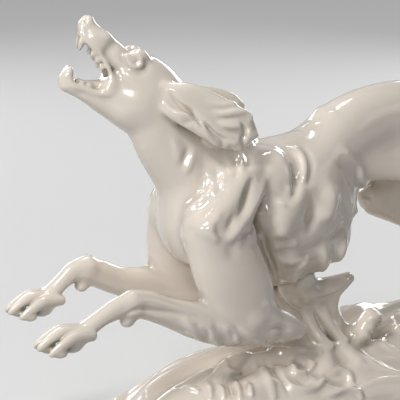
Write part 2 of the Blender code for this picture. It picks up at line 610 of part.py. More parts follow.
def main():
    for old in list(bpy.data.objects):
        bpy.data.objects.remove(old)

    mesh = bmesh.new()
    add_ground(mesh)
    add_trunk(mesh)
    add_neck(mesh)
    add_foreleg(mesh, -1, NEAR_SHOULDER, NEAR_ELBOW, NEAR_CARPUS, NEAR_KNUCKLE)
    add_foreleg(mesh, 1, FAR_SHOULDER, FAR_ELBOW, FAR_CARPUS, FAR_KNUCKLE)
    add_hind_leg(mesh, -1, NEAR_KNEE, NEAR_HOCK, NEAR_FOOT)
    add_hind_leg(mesh, 1, FAR_KNEE, FAR_HOCK, FAR_FOOT)
    skin = BVHTree.FromBMesh(mesh)
    for side in (-1, 1):
        for places in NECK_LOCKS + SHOULDER_LOCKS:
            add_lock(mesh, skin, side, places)
        for places in ARM_LOCKS:
            add_lock(mesh, skin, side, places, 1.15, 1.1)
        for places in THIGH_LOCKS:
            add_lock(mesh, skin, side, places, 1.0, 1.1)
    lean = Vector((-cos(radians(10)), 0, -sin(radians(10))))
    down = Vector((0, 0, -1))
    add_paw(mesh, -FORE_SPREAD, NEAR_KNUCKLE, lean, down)
    add_paw(mesh, FORE_SPREAD, FAR_KNUCKLE, lean, down)
    add_head(mesh)
    add_tail(mesh)
    add_tuft(mesh)
    figure = thing_of("borzoi_figurine", mesh)
    figure.data.materials.append(glaze())
    add_modifier(figure, "Cast as one", "REMESH", mode="VOXEL", voxel_size=GRAIN)
    add_modifier(figure, "Smooth", "SMOOTH", factor=0.5, iterations=3)
    reduce = add_modifier(figure, "Reduce", "DECIMATE", decimate_type="COLLAPSE", use_collapse_triangulate=True)
    whole = figure.evaluated_get(bpy.context.evaluated_depsgraph_get()).data
    triangles = sum(len(face.vertices) - 2 for face in whole.polygons)
    reduce.ratio = min(1.0, FACES / max(triangles, 1))

    below = bmesh.new()
    reach = BASE_REACH_FRONT + BASE_REACH_REAR
    scale = Matrix.Diagonal((2 * reach, 4 * BASE_HALF_WIDTH, UNDERSIDE_CUT_DEPTH, 1))
    bmesh.ops.create_cube(below, size=1, matrix=Matrix.Translation((0, 0, -UNDERSIDE_CUT_DEPTH / 2)) @ scale)
    floor = thing_of("underside_cut", below)
    floor.hide_render = True
    floor.display_type = "WIRE"
    add_modifier(figure, "Flat underside", "BOOLEAN", operation="DIFFERENCE", object=floor, solver="EXACT")


main()
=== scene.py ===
"""The looks of a glazed porcelain figurine: a long-haired hunting hound at full stretch, its head thrown up
and its mouth open, over rough ground that a leafy tuft props it from, cast in one piece.

The hound and the ground are sculpted as clay: numpy arrays hold the distance to the surface on a grid of
cells, forms are melted onto it and fur is pushed out of it, and its skin becomes a mesh. Shapes are in
millimetres, and the meshes in metres.
"""

import json

import bpy
import numpy as np
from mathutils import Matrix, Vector

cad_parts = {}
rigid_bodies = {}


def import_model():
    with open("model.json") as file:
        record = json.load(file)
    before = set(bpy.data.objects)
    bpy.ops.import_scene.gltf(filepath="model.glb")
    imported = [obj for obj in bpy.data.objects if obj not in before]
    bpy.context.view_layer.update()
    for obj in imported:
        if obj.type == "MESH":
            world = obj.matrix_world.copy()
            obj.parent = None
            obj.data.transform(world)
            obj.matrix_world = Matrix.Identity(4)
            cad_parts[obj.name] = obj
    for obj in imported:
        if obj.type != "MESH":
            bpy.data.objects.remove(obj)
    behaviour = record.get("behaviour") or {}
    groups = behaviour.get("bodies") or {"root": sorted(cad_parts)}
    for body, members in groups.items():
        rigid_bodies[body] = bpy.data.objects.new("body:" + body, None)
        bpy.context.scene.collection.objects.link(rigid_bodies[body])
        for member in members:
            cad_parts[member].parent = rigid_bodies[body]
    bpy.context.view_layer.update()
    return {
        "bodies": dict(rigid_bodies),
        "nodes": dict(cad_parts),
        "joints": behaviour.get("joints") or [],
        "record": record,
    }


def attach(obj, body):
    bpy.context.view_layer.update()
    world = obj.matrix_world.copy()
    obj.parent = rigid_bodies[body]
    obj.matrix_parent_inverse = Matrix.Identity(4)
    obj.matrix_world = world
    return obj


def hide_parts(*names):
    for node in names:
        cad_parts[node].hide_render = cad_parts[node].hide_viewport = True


bl_info = {
    "name": "Porcelain hound figurine",
    "version": (1, 0, 0),
    "blender": (4, 5, 0),
    "location": "3D View > Sidebar > Figurine",
    "description": "Builds a glazed porcelain hound on its ground, with a plain studio around it",
    "category": "Add Mesh",
}

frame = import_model()
MM = 0.001

CAST_LOW = (-193.0, -46.0, 26.0)
CAST_HIGH = (209.0, 46.0, 242.0)
GROUND_LOW = (-136.0, -64.0, -1.6)
GROUND_HIGH = (168.0, 64.0, 96.0)
FAR = 50.0
REACH = 9.0

# How a stroke's width and height come and go along it, as shares of both
RIDGE_SHARES = ((0.5, 0.1), (0.85, 0.7), (1, 1), (0.95, 1), (0.7, 0.9))
FURROW_SHARES = ((0.3, 0.1), (0.8, 0.8), (1, 1), (0.8, 0.8), (0.3, 0.1))


def unit(v):
    """Vectors divided by their own lengths."""
    v = np.asarray(v, float)
    return v / np.maximum(np.linalg.norm(v, axis=-1, keepdims=True), 1e-9)


def flow(rows, count):
    """A Catmull-Rom curve through the rows, as an array of count rows spread evenly over its spans."""
    p = np.asarray(rows, float)
    ends = np.vstack([2 * p[0] - p[1], p, 2 * p[-1] - p[-2]])
    s = np.linspace(0, len(p) - 1, count)
    i = np.minimum(s.astype(int), len(p) - 2)
    t = (s - i)[:, None]
    a, b, c, d = ends[i], ends[i + 1], ends[i + 2], ends[i + 3]
    return 0.5 * (2 * b + (c - a) * t + (2 * a - 5 * b + 4 * c - d) * t**2 + (3 * b - a - 3 * c + d) * t**3)


class Clay:
    """A block of modelling clay: the signed distance to its surface, on a grid of cells, in millimetres.

    A form joins it by the smooth minimum min(a, b) - h * h * soft / 4, with h = max(0, 1 - |a - b| / soft),
    and is cut from it by the matching smooth maximum with -b. The surface is where the value is 0.
    """

    def __init__(self, low, high, step):
        self.axes = [np.arange(a, b + step, step).astype(np.float32) for a, b in zip(low, high)]
        self.value = np.full([len(v) for v in self.axes], FAR, np.float32)

    def window(self, low, high):
        """The slices that hold a box of the grid, and the box's coordinates along each axis."""
        cut = []
        for v, a, b in zip(self.axes, low, high):
            cut.append(slice(max(0, int(np.searchsorted(v, a)) - 1), int(np.searchsorted(v, b)) + 1))
        x, y, z = (v[c] for v, c in zip(self.axes, cut))
        return tuple(cut), x[:, None, None], y[None, :, None], z[None, None, :]

    def join(self, cut, form, soft, carve):
        """Melts a form's distances into a window, or cuts the form from it."""
        old = self.value[cut]
        if carve:
            form = -form
        h = np.maximum(1 - np.abs(old - form) / soft, 0)
        if carve:
            self.value[cut] = np.maximum(old, form) + h * h * (soft / 4)
        else:
            self.value[cut] = np.minimum(old, form) - h * h * (soft / 4)

    def egg(self, centre, radii, axes=None, soft=4.0, carve=False):
        """An ellipsoid: with k = |q / r| and m = |q / r^2|, its distance is close to k (k - 1) / m."""
        centre = np.asarray(centre, float)
        radii = np.asarray(radii, float)
        axes = np.eye(3) if axes is None else unit(axes)
        span = np.sqrt(((axes * radii[:, None]) ** 2).sum(0)) + REACH
        cut, *grid = self.window(centre - span, centre + span)
        x, y, z = (v - c for v, c in zip(grid, centre))
        q = [x * a[0] + y * a[1] + z * a[2] for a in axes.astype(np.float32)]
        k = np.sqrt(sum((v / np.float32(r)) ** 2 for v, r in zip(q, radii)))
        m = np.sqrt(sum((v / np.float32(r * r)) ** 2 for v, r in zip(q, radii))) + 1e-6
        form = np.where(k < 0.2, -np.float32(radii.min()) * (1 - k), k * (k - 1) / m)
        self.join(cut, form.astype(np.float32), soft, carve)

    def along(self, spine, axes, more, near):
        """For the grid points near a path: the values of more at the nearest place on it, and their
        coordinates in that place's own axes, of which the last counts only past the path's ends."""
        most = near.max()
        cut, x, y, z = self.window(spine.min(0) - most, spine.max(0) + most)
        shape = self.value[cut].shape
        ax, ay, az = x.ravel(), y.ravel(), z.ravel()
        best = np.full(shape, 1e9, np.float32)
        where = np.zeros(shape, np.float32)
        for i in range(len(spine) - 1):
            a = spine[i].astype(np.float32)
            d = (spine[i + 1] - spine[i]).astype(np.float32)
            by = max(near[i], near[i + 1])
            low, high = np.minimum(a, a + d) - by, np.maximum(a, a + d) + by
            ends = np.column_stack([low, high])
            sub = tuple(slice(*np.searchsorted(v, pair)) for v, pair in zip((ax, ay, az), ends))
            px = ax[sub[0]][:, None, None] - a[0]
            py = ay[sub[1]][None, :, None] - a[1]
            pz = az[sub[2]][None, None, :] - a[2]
            t = np.clip((px * d[0] + py * d[1] + pz * d[2]) / max(float(d @ d), 1e-9), 0, 1)
            gap = (px - t * d[0]) ** 2 + (py - t * d[1]) ** 2 + (pz - t * d[2]) ** 2
            closer = gap < best[sub]
            best[sub] = np.where(closer, gap, best[sub])
            where[sub] = np.where(closer, i + t, where[sub])
        mask = best < most**2
        ix, iy, iz = np.nonzero(mask)
        s = where[mask]
        i = np.minimum(s.astype(int), len(spine) - 2)
        f = (s - i)[:, None]
        frame = np.column_stack([spine, *axes, more]).astype(np.float32)
        frame = frame[i] * (1 - f) + frame[i + 1] * f
        q = np.column_stack([ax[ix], ay[iy], az[iz]]) - frame[:, :3]
        u, v, w = ((q * frame[:, k:k + 3]).sum(1) for k in (3, 6, 9))
        return cut, mask, frame[:, 12:], u, v, np.where((s <= 0) | (s >= len(spine) - 1), w, 0)

    def push(self, path, wide, high, edge=0.0):
        """Raises the surface along a path that lies on it, or lowers it where high is negative.

        The value falls by high (1 - t^2)^2, where t runs from 0 at the crest to 1 at wide to either side. The
        crest lies at edge times wide to the right of the path, seen from outside, so that side falls off more
        steeply. It fades in at the start and ends round. It changes nothing well above or below the surface.
        """
        path = np.asarray(path, float)
        count = 1 + 3 * (len(path) - 1)
        spine = flow(path, count)
        tangent = unit(np.gradient(spine, axis=0))
        lift = flow([self.out(p) for p in path], count)
        lift = unit(lift - (lift * tangent).sum(1, keepdims=True) * tangent)
        side = np.cross(tangent, lift)
        share = np.maximum(flow(RIDGE_SHARES if high > 0 else FURROW_SHARES, count), 0.02)
        reach = max(wide, 2.5 * abs(high), 3.0)
        near = np.full(count, reach + 1.5)
        cut, mask, share, u, v, w = self.along(spine, (side, lift, tangent), share, near)
        width, height = (share * (wide, high)).T
        a = np.clip(u / width, -1, 1)
        t = np.where(a < edge, (a - edge) / (1 + edge), (a - edge) / (1 - edge))
        t2 = np.minimum(t**2 + (w / (0.7 * width)) ** 2, 1)
        fade = np.clip(2 - np.abs(v) / reach, 0, 1)
        amount = np.zeros(mask.shape, np.float32)
        amount[mask] = height * (1 - t2) ** 2 * fade * fade * (3 - 2 * fade)
        self.value[cut] -= amount

    def tube(self, points, wide, above=None, below=None, across=(0, 1, 0), soft=4.0, carve=False, fine=5,
             side=1):
        """A profile carried along a path, whose points' y is turned over where side is -1.

        The path is a Catmull-Rom curve. A point of the grid belongs to the nearest place on it, where the
        profile is two half ellipses: wide to each side along across, above and below it the other way. The
        distance is the ellipsoid's k (k - 1) / m in that place's own axes, which also rounds the two ends.
        """
        above = wide if above is None else above
        below = above if below is None else below
        n = len(points)
        count = 1 + fine * (n - 1)
        sizes = [np.broadcast_to(size, n) for size in (wide, above, below)]
        rows = flow(np.column_stack([np.multiply(points, (1.0, side, 1.0)), *sizes]), count)
        spine, size = rows[:, :3], np.maximum(rows[:, 3:], 0.2)
        tangent = unit(np.gradient(spine, axis=0))
        across = flow(np.broadcast_to(np.asarray(across, float), (n, 3)), count)
        side = unit(across - (across * tangent).sum(1, keepdims=True) * tangent)
        lift = np.cross(tangent, side)
        lift = lift if lift[:, 2].sum() >= 0 else -lift
        cut, mask, size, u, v, w = self.along(spine, (side, lift, tangent), size, size.max(1) + REACH)
        ru = size[:, 0]
        rv = np.where(v > 0, size[:, 1], size[:, 2])
        rw = np.minimum(ru, (size[:, 1] + size[:, 2]) / 2)
        k = np.sqrt((u / ru) ** 2 + (v / rv) ** 2 + (w / rw) ** 2)
        m = np.sqrt((u / ru**2) ** 2 + (v / rv**2) ** 2 + (w / rw**2) ** 2) + 1e-6
        form = np.full(mask.shape, FAR, np.float32)
        form[mask] = np.where(k < 0.2, -np.minimum(np.minimum(ru, rv), rw) * (1 - k), k * (k - 1) / m)
        self.join(cut, form, soft, carve)

    def soften(self, low=(-1e3, -1e3, -1e3), high=(1e3, 1e3, 1e3), times=1):
        """Evens out the value between two corners: each time, by a quarter, a half and a quarter of three."""
        part = self.value[self.window(low, high)[0]]
        for _ in range(times):
            for k in range(3):
                v = np.moveaxis(part, k, 0)
                v[1:-1] = 0.25 * v[:-2] + 0.5 * v[1:-1] + 0.25 * v[2:]

    def at(self, p):
        """The value at points, trilinear between the grid's own."""
        p = np.atleast_2d(p)
        index, share = [], []
        for k, v in enumerate(self.axes):
            i = np.clip(np.searchsorted(v, p[:, k]) - 1, 0, len(v) - 2)
            index.append(i)
            share.append(np.clip((p[:, k] - v[i]) / (v[i + 1] - v[i]), 0, 1))
        total = 0
        for c in np.ndindex(2, 2, 2):
            weight = np.prod([s if on else 1 - s for s, on in zip(share, c)], axis=0)
            total = total + weight * self.value[index[0] + c[0], index[1] + c[1], index[2] + c[2]]
        return total

    def touch(self, start, toward, reach=160.0):
        """The first point of the surface from start in the direction toward, or the nearest approach."""
        t = np.arange(0, reach, 0.5)
        v = self.at(np.asarray(start, float) + t[:, None] * unit(toward))
        hit = np.nonzero(v < 0)[0]
        k = max(int(hit[0]), 1) if len(hit) else int(np.argmin(v))
        far = t[k]
        if len(hit) and v[k - 1] > 0:
            far = t[k - 1] + 0.5 * v[k - 1] / (v[k - 1] - v[k])
        return np.asarray(start, float) + far * unit(toward)

    def out(self, p, h=1.5):
        """The outward direction at a point: the gradient of the value."""
        e = np.eye(3) * h
        return unit(self.at(p + e) - self.at(p - e))

    def skin(self):
        """Surface nets: a vertex in each cell that the surface crosses, at the mean of the crossings on its
        edges, and a face around each grid edge that it crosses."""
        f = self.value
        inside = f < 0
        half = (slice(0, -1), slice(1, None))
        count = sum(inside[half[a], half[b], half[c]].astype(np.uint8) for a, b, c in np.ndindex(2, 2, 2))
        cells = np.nonzero((count > 0) & (count < 8))
        ids = np.full(count.shape, -1, np.int32)
        ids[cells] = np.arange(len(cells[0]))
        corner = {c: f[cells[0] + c[0], cells[1] + c[1], cells[2] + c[2]] for c in np.ndindex(2, 2, 2)}
        total = np.zeros((len(cells[0]), 3))
        hits = np.zeros(len(cells[0]))
        for k in range(3):
            others = [j for j in range(3) if j != k]
            for p, q in np.ndindex(2, 2):
                a = [0, 0, 0]
                a[others[0]], a[others[1]] = p, q
                b = list(a)
                b[k] = 1
                va, vb = corner[tuple(a)], corner[tuple(b)]
                cross = (va < 0) != (vb < 0)
                total[:, k] += np.where(cross, va / np.where(cross, va - vb, 1), 0)
                total[:, others[0]] += cross * p
                total[:, others[1]] += cross * q
                hits += cross
        local = total / hits[:, None]
        axes = [v[c] + local[:, k] * (v[c + 1] - v[c]) for k, (v, c) in enumerate(zip(self.axes, cells))]
        points = np.column_stack(axes)
        faces = []
        for k in range(3):
            others = [(k + 1) % 3, (k + 2) % 3]
            low, high = [slice(1, -1)] * 3, [slice(1, -1)] * 3
            low[k], high[k] = half
            a, b = inside[tuple(low)], inside[tuple(high)]
            for turned, hit in ((False, a & ~b), (True, ~a & b)):
                edge = list(np.nonzero(hit))
                for j in others:
                    edge[j] = edge[j] + 1
                ring = []
                for p, q in ((0, 0), (1, 0), (1, 1), (0, 1)):
                    cell = list(edge)
                    cell[others[0]] = cell[others[0]] - 1 + p
                    cell[others[1]] = cell[others[1]] - 1 + q
                    ring.append(ids[tuple(cell)])
                face = np.column_stack(ring)
                faces.append(face[:, ::-1] if turned else face)
        return points, np.vstack(faces)


def whole(points, faces):
    """The largest connected body of a mesh: faces take their corners' lowest number until none changes."""
    label = np.arange(len(points))
    while True:
        low = label[faces].min(1)
        new = label.copy()
        for k in range(4):
            np.minimum.at(new, faces[:, k], low)
        new = new[new]
        if (new == label).all():
            break
        label = new
    main = np.bincount(label).argmax()
    keep = label == main
    number = np.cumsum(keep) - 1
    return points[keep], number[faces[keep[faces[:, 0]]]]


# The photograph's view, in millimetres: 400 picture points across, 0.55 mm each at the aim. A sight line is
# searched for the surface from 820 mm out, over the 380 mm that hold the figurine.
VIEW_TURN = np.radians(-30.0)
VIEW_RISE = np.radians(15.0)
VIEW_AWAY = 1000.0
VIEW_POINT = 0.55
VIEW_MIDDLE = 200
VIEW_AIM = np.array([-72.0, 0.0, 130.0])
SIGHT_START = 820
SIGHT_REACH = 380
BACK = np.array([np.sin(VIEW_TURN) * np.cos(VIEW_RISE), -np.cos(VIEW_TURN) * np.cos(VIEW_RISE),
                 np.sin(VIEW_RISE)])
RIGHT = unit(np.cross(-BACK, [0, 0, 1]))
UPWARD = np.cross(RIGHT, -BACK)
EYE = VIEW_AIM + BACK * VIEW_AWAY


def sight(px, py):
    """The direction from the camera through a point of the picture."""
    across, up = px - VIEW_MIDDLE, VIEW_MIDDLE - py
    return unit(-BACK * VIEW_AWAY + RIGHT * across * VIEW_POINT + UPWARD * up * VIEW_POINT)


def plumb(px, py, y):
    """The point at y, in millimetres, on the sight line through a point of the picture."""
    d = sight(px, py)
    return EYE + d * ((y - EYE[1]) / d[1])


def seen(clay, px, py):
    """The point of the clay that the camera sees at a point of the picture."""
    d = sight(px, py)
    return clay.touch(EYE + d * SIGHT_START, d, SIGHT_REACH)


# The head's own directions: along the face, out to its left, and up through its crown
HEAD_TURN = np.radians(12.0)
HEAD_TILT = np.radians(42.0)
POLL = np.array([-95.0, 0.0, 188.0])
LEFT = np.array([-np.sin(HEAD_TURN), -np.cos(HEAD_TURN), 0.0])
AHEAD = np.array([-np.cos(HEAD_TURN) * np.cos(HEAD_TILT), np.sin(HEAD_TURN) * np.cos(HEAD_TILT),
                  np.sin(HEAD_TILT)])
CROWN = np.cross(AHEAD, LEFT)
HEAD = (AHEAD, LEFT, CROWN)

# How far the ribs lean back, the box of the coat that is evened out, where the far flank is looked for from,
# how far out it has to lie, and by how much its distance out may differ from the near flank's
RIB_LEAN = np.radians(10)
COAT_LOW = (-95, -46, 72)
COAT_HIGH = (46, 46, 178)
FLANK_AWAY = 70
FLANK_LEAST = 2
FLANK_MATCH = 12


def head(rows):
    """Points of the head's own frame, as rows of ahead, up and left, in millimetres."""
    rows = np.atleast_2d(rows)
    return POLL + rows[:, :1] * AHEAD + rows[:, 1:2] * CROWN + rows[:, 2:3] * LEFT


def add_trunk(clay):
    """Ribs, keel, arched loin, croup and the front of the chest: ellipsoids and one tube, melted together."""
    c, s = np.cos(RIB_LEAN), np.sin(RIB_LEAN)
    clay.egg((-20, 0, 119), (49, 30, 41), [(c, 0, s), (0, 1, 0), (-s, 0, c)], 6)
    clay.egg((-26, 0, 101), (41, 20, 27), soft=8)
    clay.tube([(-38, 0, 138), (-12, 0, 139), (20, 0, 154), (48, 0, 163), (75, 0, 161), (98, 0, 151)],
        [20, 20, 17, 15, 16.5, 16], [12, 14.5, 22, 20.5, 20, 17], [20, 23, 20, 18.5, 19, 16], soft=9)
    clay.egg((94, 0, 156.5), (23, 17.5, 20), soft=8)
    for side in (-1, 1):
        clay.egg((2, side * 12, 99), (16.5, 11, 13.5), soft=7)
        # the fold of skin from the flank to the thigh, and the skin between it and the loin
        clay.tube([(28, 9, 136), (44, 11, 136.5), (62, 14, 134), (78, 18, 126)], [4.5, 4, 4, 5],
            [9, 8, 9, 9], [7.5, 7.5, 7.5, 6], soft=7, side=side)
        clay.tube([(30, 6, 140), (46, 7, 143), (62, 8, 144), (80, 10, 140)], [6, 6, 6, 7],
            11, 7, soft=6, side=side)
    clay.egg((-75, 0, 121), (21, 23, 27), soft=8)


def add_neck(clay):
    """The neck as one tube from the skull down into the chest."""
    clay.tube([(-101, 0, 192), (-93, 0, 173), (-80, 0, 155), (-66, 0, 138), (-52, 0, 124)],
        [12.5, 14, 17, 22, 25], [15, 20, 26, 31, 30], [17, 21, 24, 29, 30], soft=8)


def add_foreleg(clay, side, shoulder, bones, pastern, toe):
    """Shoulder blade, upper arm, forearm from elbow to wrist, pastern and paw of one side."""
    clay.tube([(-36, 12, 147), (-57, 21, 133.5), (-80 + shoulder * 1.5, 26 if side < 0 else 24, 117)],
        [9, 11, 12], [11.5, 16.5, 15.5], soft=8, side=side)
    clay.tube([(-75.5 + shoulder, 23, 121), (-71 + shoulder / 2, 28, 102), (-64, 30, 84), (-58, 30, 70)],
        [12, 12, 11, 10], [20, 21.5, 21.5, 17], soft=6, side=side)
    clay.tube(bones, [9, 9, 8, 6.5, 6, 5.8], [12, 12.2, 10.8, 9, 8.6, 7.8], [12, 12, 10.2, 7.6, 7.4, 7.4],
        soft=5, side=side)
    clay.tube(pastern, [5.8, 5, 4.7, 5.2, 6.2], [7.4, 6.2, 5.2, 5, 4.2], [7.4, 5.8, 4.2, 4.2, 4.8],
        soft=3, side=side)
    x, y, z = bones[-1]
    clay.egg((x - 2.5, side * y, z - 8.5), (4.2, 3.8, 3.6), soft=2.5)
    add_paw(clay, side * 28, toe)


def add_paw(clay, y, knuckle, pitch=0.0):
    """Four arched toes with claws, the middle two ahead, a pad below each and a broad pad behind them."""
    x, z = knuckle
    c, s = np.cos(pitch), np.sin(pitch)

    def turned(*rows):
        """Points turned about the knuckle by the pitch."""
        rows = np.asarray(rows, float)
        dx, dz = rows[:, 0] - x, rows[:, 2] - z
        return np.column_stack([x + dx * c - dz * s, rows[:, 1], z + dx * s + dz * c])

    clay.egg(turned((x + 8, y, z - 4))[0], (9, 7.5, 5.4), soft=3)
    for place, back, low in ((-1.5, 4.5, 2.4), (-0.5, 0, 0), (0.5, 0.4, 0.2), (1.5, 4.8, 2.4)):
        a = x + back
        root, w, tip = y + place * 3.4, y + place * 4.3, y + place * 4.3 + place * 0.6
        bent = w + place * 0.5
        toe = turned((a + 12, root, z - 1 - low), (a + 1.5, w, z + 0.3 - low), (a - 6, bent, z - 2.4 - low),
                     (a - 12.5, tip, z - 6 - low))
        clay.tube(toe, [2.5, 2.6, 2.4, 1.8], [3.0, 3.3, 3.0, 2.2], [3.0, 3.2, 2.8, 2.0], soft=1.3)
        clay.egg(turned((a - 7.5, bent, z - 7.4 - low * 0.8))[0], (4, 2.3, 2.3), soft=1.2)
        claw = turned((a - 12.5, tip, z - 5.2 - low), (a - 15, tip, z - 7.4 - low))
        clay.tube(claw, [0.95, 0.45], soft=0.8, fine=3)
    clay.egg(turned((x + 6.5, y, z - 8.6))[0], (6.2, 6, 3.6), soft=2)


def add_hind_leg(clay, side, knee, hock, foot):
    """Thigh, second thigh with its sinew, hock and paw of one side; the joints are given as x and z."""
    y = side * 20
    knee, hock, foot = ((x, y, z) for x, z in (knee, hock, foot))
    thigh = ((91 + knee[0]) / 2 + 3, y * 0.85, (158 + knee[2]) / 2 + 2)
    calf = ((knee[0] + hock[0]) / 2, y, (knee[2] + hock[2]) / 2 + 1)
    shank = ((hock[0] + foot[0]) / 2 + 0.5, y, (hock[2] + foot[2]) / 2)
    clay.tube([(91, side * 10, 158), thigh, knee], [10, 11, 8.5], [22.5, 20.5, 13], soft=8)
    clay.tube([knee, calf, hock], [8, 6.2, 4.6], [12.5, 9.2, 6], soft=5)
    clay.tube([(calf[0] + 6, y, calf[2] + 4), (hock[0] - 3, y, hock[2] + 6.5),
        (hock[0] + 4, y, hock[2] + 2)], [2, 1.8, 2.6], [2.6, 2.4, 3.2], soft=3)
    clay.tube([(hock[0] + 1, y, hock[2] + 1), shank, foot], [4.6, 4.2, 5], [6, 4.6, 5], soft=3)
    add_paw(clay, y, (foot[0] - 6, foot[2] - 1), np.radians(8))


def add_tail(clay):
    """The low tail, with a fringe of long locks hanging from its underside."""
    clay.tube([(102, 3, 157), (123, 3, 148), (145, 3, 133), (166, 3, 119), (185, 3, 111), (201, 3, 114)],
        [8, 5.4, 4.8, 4.4, 3.6, 2], [8, 5.6, 5, 4.6, 3.8, 2], [9, 8, 8.5, 9, 6.5, 2.4], soft=6)
    locks = ((116, 148, 10, -14, 3.4), (127, 141, 13, -17, 3.6), (139, 133, 15, -18, 3.6),
        (151, 125, 16, -17, 3.4), (163, 118, 17, -13, 3.2), (176, 112, 17, -7, 2.8))
    for x, z, dx, dz, w in locks:
        clay.tube([(x, 3, z), (x + dx * 0.5, 3.4, z + dz * 0.6), (x + dx, 3.2, z + dz)],
            [w * 0.8, w * 0.8, 1.1], [w * 1.5, w * 1.2, 1.4], soft=1.6)


def add_head(clay):
    """Skull, brows, muzzle and open jaws, then mouth, teeth, tongue, eyes and nose."""
    def egg(a, b, s, ra, rs, rb, soft=4.0, carve=False):
        """An ellipsoid in the head's own directions."""
        clay.egg(head((a, b, s))[0], (ra, rs, rb), HEAD, soft, carve)

    def tube(rows, *sizes, s=1, across=LEFT, **rest):
        """A tube through points of the head's own frame, on the left where s is 1 and the right where -1."""
        clay.tube(head(np.multiply(rows, (1, 1, s))), *sizes, across=across, **rest)

    egg(10, 3.5, 0, 15.5, 11.5, 12.6)
    egg(21, 4, 0, 12, 10.5, 9.6, 6)
    egg(-1, 6.4, 0, 6, 6, 7.6, 4)
    for s in (1, -1):
        egg(12.5, -9, s * 5.2, 13, 8.5, 14.5, 5)
        egg(27.5, 9.4, s * 6, 5.6, 3.8, 4.6, 2.5)
        egg(50, 1.6, s * 2.5, 7, 4.1, 4.6, 2.5)
        egg(22, -2, s * 7.5, 9, 3.2, 3.4, 4)
    tube([(26, 2, 0), (36, 1.8, 0), (46, 3.2, 0), (55, 3.7, 0), (60.4, 4.4, 0)], [8.3, 7, 5.4, 4.8, 3.8],
        [7, 7, 5.6, 4.9, 4.4], [9, 7.2, 5, 4.4, 4.6], soft=3)
    egg(60.4, 6.2, 0, 3.4, 3.5, 3.7, 1.2)
    tube([(2, -12, 0), (14, -15.4, 0), (27, -20.8, 0), (38, -24.4, 0), (48, -26.3, 0)],
        [9, 8.5, 6.8, 5.4, 4], [10, 9, 5.6, 3.4, 2.8], [12, 11.4, 7, 3.8, 4.1], soft=5)
    egg(51, -22.6, 0, 2.7, 3.6, 5.4, 2)
    egg(30.5, -12, 0, 4, 7.5, 7.4, 3)
    for s in (1, -1):
        egg(24.5, -10.5, s * 4.4, 8, 4.6, 8.5, 4)
        egg(48, 5.4, s * 2.6, 5, 3.6, 3.4, 2)
    # the hollow of the palate
    tube([(33, -7, 0), (42, -5.5, 0), (52, -3.5, 0)], [3.4, 3, 2.2], [2.4, 2.2, 1.8], [3, 2.4, 1.8],
        soft=1.2, carve=True)
    for s in (1, -1):
        # lower lip, drawn back to the corner of the mouth, and upper lip
        tube([(51.5, -20.5, 2.6), (46.5, -24, 4.2), (40, -21.6, 5), (32.5, -18.6, 6), (29, -14.5, 7),
            (31, -10, 6.4)], 1.35, s=s, soft=3)
        tube([(60, -0.4, 2.6), (54, -2, 4.2), (46, -2.6, 5.2), (40, -4.4, 5.8), (35, -6.8, 6.4),
            (31, -10, 6.4)], 1.2, s=s, soft=3)
        # upper and lower canine
        tube([(57.5, -0.5, 2.9), (56.6, -4.6, 2.9), (53.8, -9.2, 2.7)], [1.5, 1.4, 0.5], [2.2, 1.9, 0.6],
            s=s, soft=0.8)
        tube([(50.6, -23, 2.6), (51.4, -19.6, 2.5), (53.2, -16.4, 2.2)], [1.5, 1.3, 0.5], [2, 1.6, 0.6],
            s=s, soft=0.8)
        # back teeth
        for a, b, r in ((48, -4.6, 2.0), (44, -5.6, 2.2), (39.6, -7.2, 2.3)):
            egg(a, b, s * 3.9, r, 1.3, 2.5, 0.7)
        for a, b, r in ((42.5, -20.6, 1.7), (38.5, -19.2, 1.9)):
            egg(a, b, s * 3.6, r, 1.2, 2.1, 0.7)
        # nostril, eye socket, eyeball, its upper and lower lid, and the furrow behind them
        egg(62.6, 5.6, s * 2.6, 1.8, 1.0, 1.0, 0.8, True)
        tube([(26.5, 6.4, 10.4), (30.5, 6.3, 10.2), (34.5, 5.4, 9)], [1.4, 2.0, 1.2],
            s=s, across=CROWN, soft=3, carve=True)
        egg(30.4, 6.0, s * 7.7, 2.6, 2.2, 2.0, 1.4)
        tube([(25.8, 6.4, 10.2), (28.4, 9, 10.2), (32, 8.6, 9), (35, 5.6, 8)],
            0.9, s=s, across=CROWN, soft=2.4)
        tube([(25.8, 6.4, 10.2), (28.6, 3.4, 10.4), (32, 3.5, 9.1), (35, 5.6, 8)],
            0.7, s=s, across=CROWN, soft=2.4)
        tube([(23.6, 10.6, 10.4), (23, 7, 11.2), (24.4, 3.2, 11.6)], [0.5, 0.8, 0.4],
            s=s, across=CROWN, soft=2.4, carve=True)
        # hollow behind the whisker pad, and fold below the lower lip
        tube([(43.8, 4.4, 7.4), (43.4, 0.6, 7.6)], [1.6, 1.4], s=s, across=CROWN, soft=3, carve=True)
        tube([(40, -26, 6.4), (32, -24.6, 8.8), (25, -21, 10.4)], [0.8, 1.2, 0.6], s=s, soft=2.5, carve=True)
    # upper front teeth, tongue and the furrow along it
    tube([(59.6, -0.6, -2.2), (59.8, -1.6, 0), (59.6, -0.6, 2.2)], [1.2, 1.3, 1.2], across=CROWN, soft=0.8)
    tube([(24, -13.6, 0), (32, -15, 0), (39, -19, 0), (44.5, -21.4, 0)], [4.6, 4.2, 3.2, 2.0],
        [3.8, 3.4, 2.2, 1.3], soft=1.2)
    tube([(27, -10, 0), (36, -14.4, 0), (43, -19, 0)], [0.5, 0.7, 0.4], soft=1.2, carve=True)


